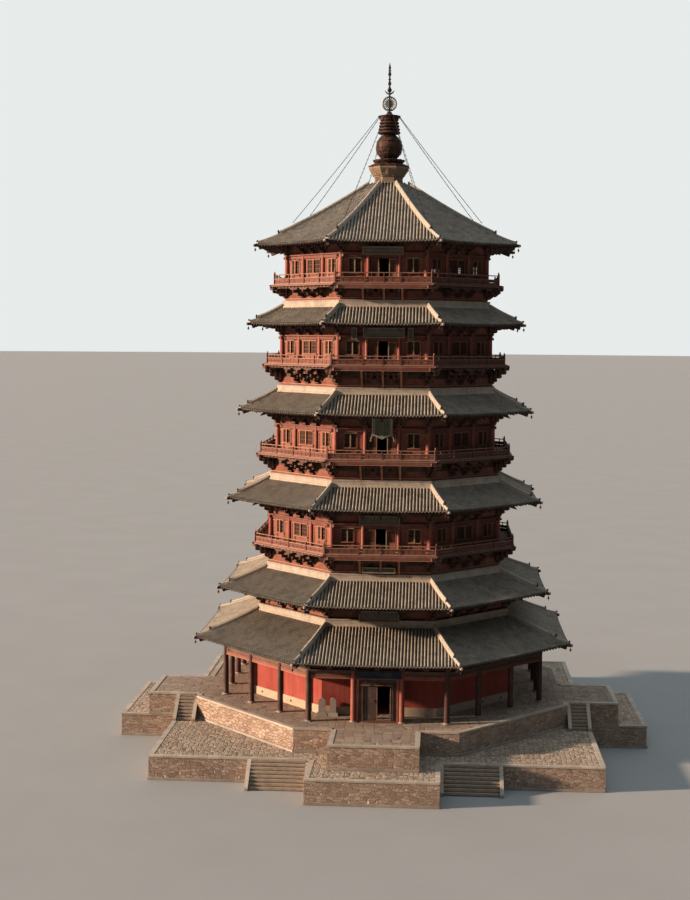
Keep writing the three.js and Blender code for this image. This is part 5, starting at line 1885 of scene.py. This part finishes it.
octagon = circle(UPPER_APOTHEM * TO_CORNER, SIDES, start=-1.5 * TURN)
end, front, back = UPPER_TERRACE
upper_edge = whole_outline([
    (UPPER_SOUTH_HALF, -end), (UPPER_SOUTH_HALF, -UPPER_APOTHEM), octagon[0], octagon[1],
    (UPPER_APOTHEM, front), (end, front), (end, back), (UPPER_APOTHEM, back), octagon[2], octagon[3],
])
end, front = LOWER_TERRACE
lower_edge = whole_outline([
    (LOWER_SOUTH_HALF, -end), (LOWER_SOUTH_HALF, -LOWER_HALF), (LOWER_HALF, -LOWER_HALF),
    (LOWER_HALF, -front), (end, -front), (end, front), (LOWER_HALF, front), (LOWER_HALF, LOWER_HALF),
])
make(outline_kerbs(upper_edge, UPPER_TOP), "upper_kerbs")
make(outline_kerbs(lower_edge, LOWER_TOP), "lower_kerbs")
feet = Shape()
for edge, foot in ((upper_edge, LOWER_TOP), (lower_edge, 0.0)):
    plinth = dict(coat="base_stone", width=0.3, height=0.22, proud=0.1)
    feet.put(outline_kerbs(edge, foot + 0.19, **plinth), [turned(0)])
make(feet, "base_plinths")
dress("lower_platform", "cobble_masonry")
dress("upper_platform", "slab_masonry")

# %% Flights of steps
STAIR_RISERS = 8
STAIR_TREAD = 0.27
CHEEK_WIDTH = 0.35
STEP_STONES = 3
LOWER_FLIGHT_END = 11.4


def flight(x0, x1, back, bottom, top):
    """Stone steps that come down southwards from y = back, between two sloping cheeks."""
    shape = Shape()
    height, run = top - bottom, STAIR_TREAD * (STAIR_RISERS + 1)
    rise = height / STAIR_RISERS
    inner0, inner1 = x0 + CHEEK_WIDTH, x1 - CHEEK_WIDTH
    stone = (inner1 - inner0) / STEP_STONES
    for step in range(1, STAIR_RISERS + 1):
        near = back - STAIR_TREAD * (STAIR_RISERS - step)
        low, high = bottom + rise * (step - 1), bottom + rise * step
        for number in range(STEP_STONES):
            left, right = inner0 + stone * number + 0.004, inner0 + stone * (number + 1) - 0.004
            shape.block(left, right, near - STAIR_TREAD - 0.02, near, low + 0.08, high, "stair_brick")
        shape.block(inner0, inner1, near - STAIR_TREAD + 0.03, back, low, low + 0.08, "base_stone")
    cheek = [(0, 0), (run, 0), (run, rise), (0, height)]
    far = run + 0.02
    slope = [(-0.02, height - 0.12), (far, rise - 0.1), (far, rise + 0.05), (-0.02, height + 0.05)]
    for x in (x0 + CHEEK_WIDTH / 2, x1 - CHEEK_WIDTH / 2):
        shape.plate(cheek, CHEEK_WIDTH - 0.06, "base_stone", (x, back, bottom), across=(0, -1, 0))
        shape.plate(slope, CHEEK_WIDTH, "kerb_stone", (x, back, bottom), across=(0, -1, 0))
    return shape


for level, near, far, back, bottom, top in (
    ("lower", LOWER_SOUTH_HALF, LOWER_FLIGHT_END, -LOWER_HALF, 0.0, LOWER_TOP),
    ("upper", UPPER_APOTHEM, LOWER_HALF, UPPER_TERRACE[1], LOWER_TOP, UPPER_TOP),
):
    for name, sign in (("west", -1), ("east", 1)):
        steps = flight(*span(sign, near, far), back, bottom, top)
        make(steps, f"{level}_steps_{name}", hides=(f"{level}_stair_{name}",))

# %% [markdown]
# ## The finial
# On the apex stand a brick seat shaped like an open flower under an iron plate, with a small opening to
# the south-west that is a dark panel of painted shade in a brick frame, then an iron lotus, a bowl, a
# stack of rings, a small canopy, and on the mast a pale openwork disc, a crescent and beads. Turned
# pieces are lathed from profiles with more steps than the solids have, and petals are laid over them.
# Eight stays of long iron links run down to the hips of the top roof.

# %% Seat, lotus, bowl and rings
def petals(shape, count, radius_low, radius_high, z_low, z_high, coat, swell=0.1, start=0.0):
    """A row of pointed petals that lean outwards."""
    for number in range(count):
        angle = start + 2 * math.pi * number / count
        half = math.pi / count * 0.92
        rows = []
        for up in np.linspace(0, 1, 6):
            radius = radius_low + (radius_high - radius_low) * up ** 1.3
            spread = half * (1 - up ** 3.2)
            row = []
            for across in np.linspace(-1, 1, 5):
                a = angle + spread * across
                out = radius + swell * (1 - across ** 2) * math.sin(math.pi * min(1, up * 1.1)) * 0.8
                row.append((out * math.cos(a), out * math.sin(a), z_low + (z_high - z_low) * up))
            rows.append(row)
        shape.grid(np.array(rows), coat, soft=True)


seat = Shape()
flower = [
    (0.0, 55.3), (1.54, 55.3), (1.54, 55.42), (1.44, 55.46), (1.44, 55.9), (1.52, 55.94), (1.52, 56.02),
    (1.6, 56.1), (1.98, 56.62), (2.05, 56.75), (2.05, 56.95), (1.92, 57.0), (1.6, 57.2), (0.0, 57.2),
]
plate = [(1.6, 56.78), (2.02, 56.86), (2.12, 57.0), (1.98, 57.04), (1.6, 57.22), (0.0, 57.22)]
for profile, coat in ((flower, "seat_brick"), (plate, "old_iron")):
    seat.lathe([(radius * TO_CORNER * 0.96, z) for radius, z in profile], coat, SIDES, soft=False)
    points = seat.columns["points"][-1]
    points[:] = points @ turned(TURN / 2)[:3, :3].T
petals(seat, 16, 1.62, 2.0, 56.08, 56.76, "seat_brick", swell=0.05)
# Painted shade: a dark wooden panel in a brick frame stands for the open hole into the seat.
painted_opening = Shape()
painted_opening.block(-0.42, 0.02, -1.43, -1.3, 55.46, 55.92, "column_wood")
framed(painted_opening, -0.5, 0.1, 1.42, 55.38, 56.0, "seat_brick", width=0.08, depth=0.06)
seat.put(painted_opening, ALL_SIDES[7:])
make(seat, "finial_seat", hides=("brick_seat",))

lotus = Shape()
lotus.lathe([
    (0.0, 57.2), (1.3, 57.2), (1.32, 57.26), (1.45, 57.4), (1.6, 57.55), (1.62, 57.62), (1.4, 57.68),
    (0.95, 57.76), (0.82, 57.8), (0.0, 57.8),
], "old_iron", 48)
petals(lotus, 16, 1.3, 1.68, 57.22, 57.66, "old_iron", swell=0.05)
petals(lotus, 16, 1.2, 1.5, 57.3, 57.72, "old_iron", swell=0.05, start=math.pi / 16)
make(lotus, "finial_flower", hides=("finial_lotus",))

bowl = Shape()
bowl.lathe([
    (0.0, 57.8), (0.8, 57.8), (0.86, 57.9), (1.02, 58.05), (1.18, 58.3), (1.27, 58.6), (1.3, 58.9),
    (1.28, 59.2), (1.2, 59.5), (1.05, 59.78), (0.85, 60.0), (0.72, 60.05), (0.7, 60.12), (0.6, 60.2),
    (0.0, 60.2),
], "old_iron", 48)
for height, radius in ((58.25, 1.17), (58.86, 1.31), (59.5, 1.21)):
    hoop = [(-0.03, -0.04), (0.03, -0.03), (0.03, 0.03), (-0.03, 0.04)]
    bowl.lathe([(radius + out, height + up) for out, up in hoop], "old_iron", 48)
for a in np.arange(12) * math.pi / 6:
    spots = [(r * math.cos(a), r * math.sin(a), z) for r, z in ((1.22, 58.3), (1.31, 58.86), (1.21, 59.5))]
    for low, high in zip(spots, spots[1:]):
        bowl.bar(low, high, 0.06, 0.05, "old_iron")
make(bowl, "finial_bowl_iron", hides=("finial_bowl",))

rings = Shape()
profile = [(0.0, 60.2)]
for number in range(5):
    radius = 1.13 - 0.05 * number
    foot = 60.2 + 0.32 * number
    if number:
        profile += [(radius - 0.24, foot), (radius - 0.24, foot + 0.05)]
    profile += [(radius - 0.05, foot + 0.08), (radius, foot + 0.13)]
    profile += [(radius, foot + 0.22), (radius - 0.05, foot + 0.27)]
    if number < 4:
        profile.append((radius - 0.27, foot + 0.3))
profile += [
    (0.7, 61.8), (0.98, 61.8), (1.0, 61.84), (0.98, 61.92), (0.8, 61.97), (0.55, 62.1), (0.3, 62.25),
    (0.2, 62.45), (0.0, 62.45),
]
rings.lathe(profile, "old_iron", 40)
pendant = [(-0.09, 0.0), (-0.07, -0.12), (0, -0.2), (0.07, -0.12), (0.09, 0.0)]
for x, y in circle(0.99, 8):
    rings.plate(pendant, 0.03, "old_iron", (x, y, 61.84), across=(-y / 0.99, x / 0.99, 0))
make(rings, "finial_rings_iron", hides=("finial_rings",))

# %% Crest: openwork disc, crescent and beads
crest = Shape()
crest.pole((0, 0, 62.4), (0, 0, 66.75), 0.085, "dark_iron", 12)
crest.pole((0, 0, 66.71), (0, 0, 67.31), 0.14, "dark_iron", 12, 0.01)
hub = np.array((0, 0, 63.25))
crest.hoop(hub, UPRIGHT, 0.68, 0.08, "pale_iron", 28, 8)
crest.plate(circle(0.4, 24, (0, 63.25)), 0.05, "pale_iron")
for number in range(9):
    a = math.pi * number / 9 + math.pi / 18
    spoke = np.array((math.cos(a), 0, math.sin(a))) * 0.64
    crest.bar(hub - spoke, hub + spoke, 0.09, 0.045, "pale_iron", up=(0, 1, 0))
outer = arc((0, 64.62), 0.48, math.pi, 2 * math.pi, 20)
tilt = math.atan2(0.24, 0.48)
inner = arc((0, 64.86), math.hypot(0.48, 0.24), -tilt, -math.pi + tilt, 16)
crest.plate(outer + inner[1:-1], 0.1, "pale_iron")
for height, radius in ((64.6, 0.22), (65.22, 0.17), (66.15, 0.17)):
    crest.lathe(arc((0, height), radius, -math.pi / 2, math.pi / 2, 11), "dark_iron", 20)
    neck = height + radius
    crest.lathe([(0.1, neck - 0.04), (0.14, neck), (0.1, neck + 0.04)], "dark_iron", 16)
for height in (62.7, 63.95, 65.65, 66.5):
    collar = [(0.08, -0.05), (0.15, -0.03), (0.15, 0.03), (0.08, 0.05)]
    crest.lathe([(radius, height + up) for radius, up in collar], "dark_iron", 16)
make(crest, "finial_crest_iron", hides=("finial_crest",))

# %% Stays of long links
LINK = 0.62
SAG = 0.1
STAY_FOOT = 9.9
stay = Shape()
roof = ROOFS[5]
anchor = np.array((0, -1.08, 61.97))
hip_share = (STAY_FOOT / TO_CORNER - roof.tile_start) / (roof.eave - roof.tile_start)
foot = hip_point(roof, hip_share, 0.6)
length = np.linalg.norm(foot - anchor)
links = round(length / LINK)
spots = [
    anchor + (foot - anchor) * step - np.array((0, 0, SAG * math.sin(math.pi * step)))
    for step in np.linspace(0, 1, links + 1)
]
for start, finish in zip(spots, spots[1:]):
    way = (finish - start) / np.linalg.norm(finish - start)
    stay.pole(start + way * 0.05, finish - way * 0.05, 0.026, "dark_iron", steps=6)
    axes = (way, (1, 0, 0), np.cross(way, (1, 0, 0)))
    stay.hoop(finish, axes, 0.06, 0.02, "dark_iron", 8, 4)
stays = Shape().put(stay, ALL_CORNERS)
ring = [(0.82, 61.93), (1.12, 61.93), (1.14, 61.97), (1.12, 62.02), (0.82, 62.02), (0.82, 61.93)]
stays.lathe(ring, "old_iron", 32)
make(stays, "finial_chains", hides=("finial_stays",))

# %% [markdown]
# ## Floor
# A pale plain floor catches the tower's shadow. It isn't part of the object, so it is staged.

# %% Floor
FLOOR_RADIUS = 1800
floor_paint = Paint("floor")
soft_cloud = floor_paint.cloud(9, detail=3)
floor_colour = floor_paint.mix(soft_cloud, (0.31, 0.30, 0.285), (0.35, 0.338, 0.322))
floor_finish = floor_paint.finish(floor_colour, 0.95)
floor_mesh = bpy.data.meshes.new("floor")
ring = [(*spot, -0.004) for spot in circle(FLOOR_RADIUS, 64)]
floor_mesh.from_pydata(ring, [], [tuple(range(64))])
floor_mesh.materials.append(floor_finish)
floor_disc = bpy.data.objects.new("floor", floor_mesh)
bpy.context.scene.collection.objects.link(floor_disc)
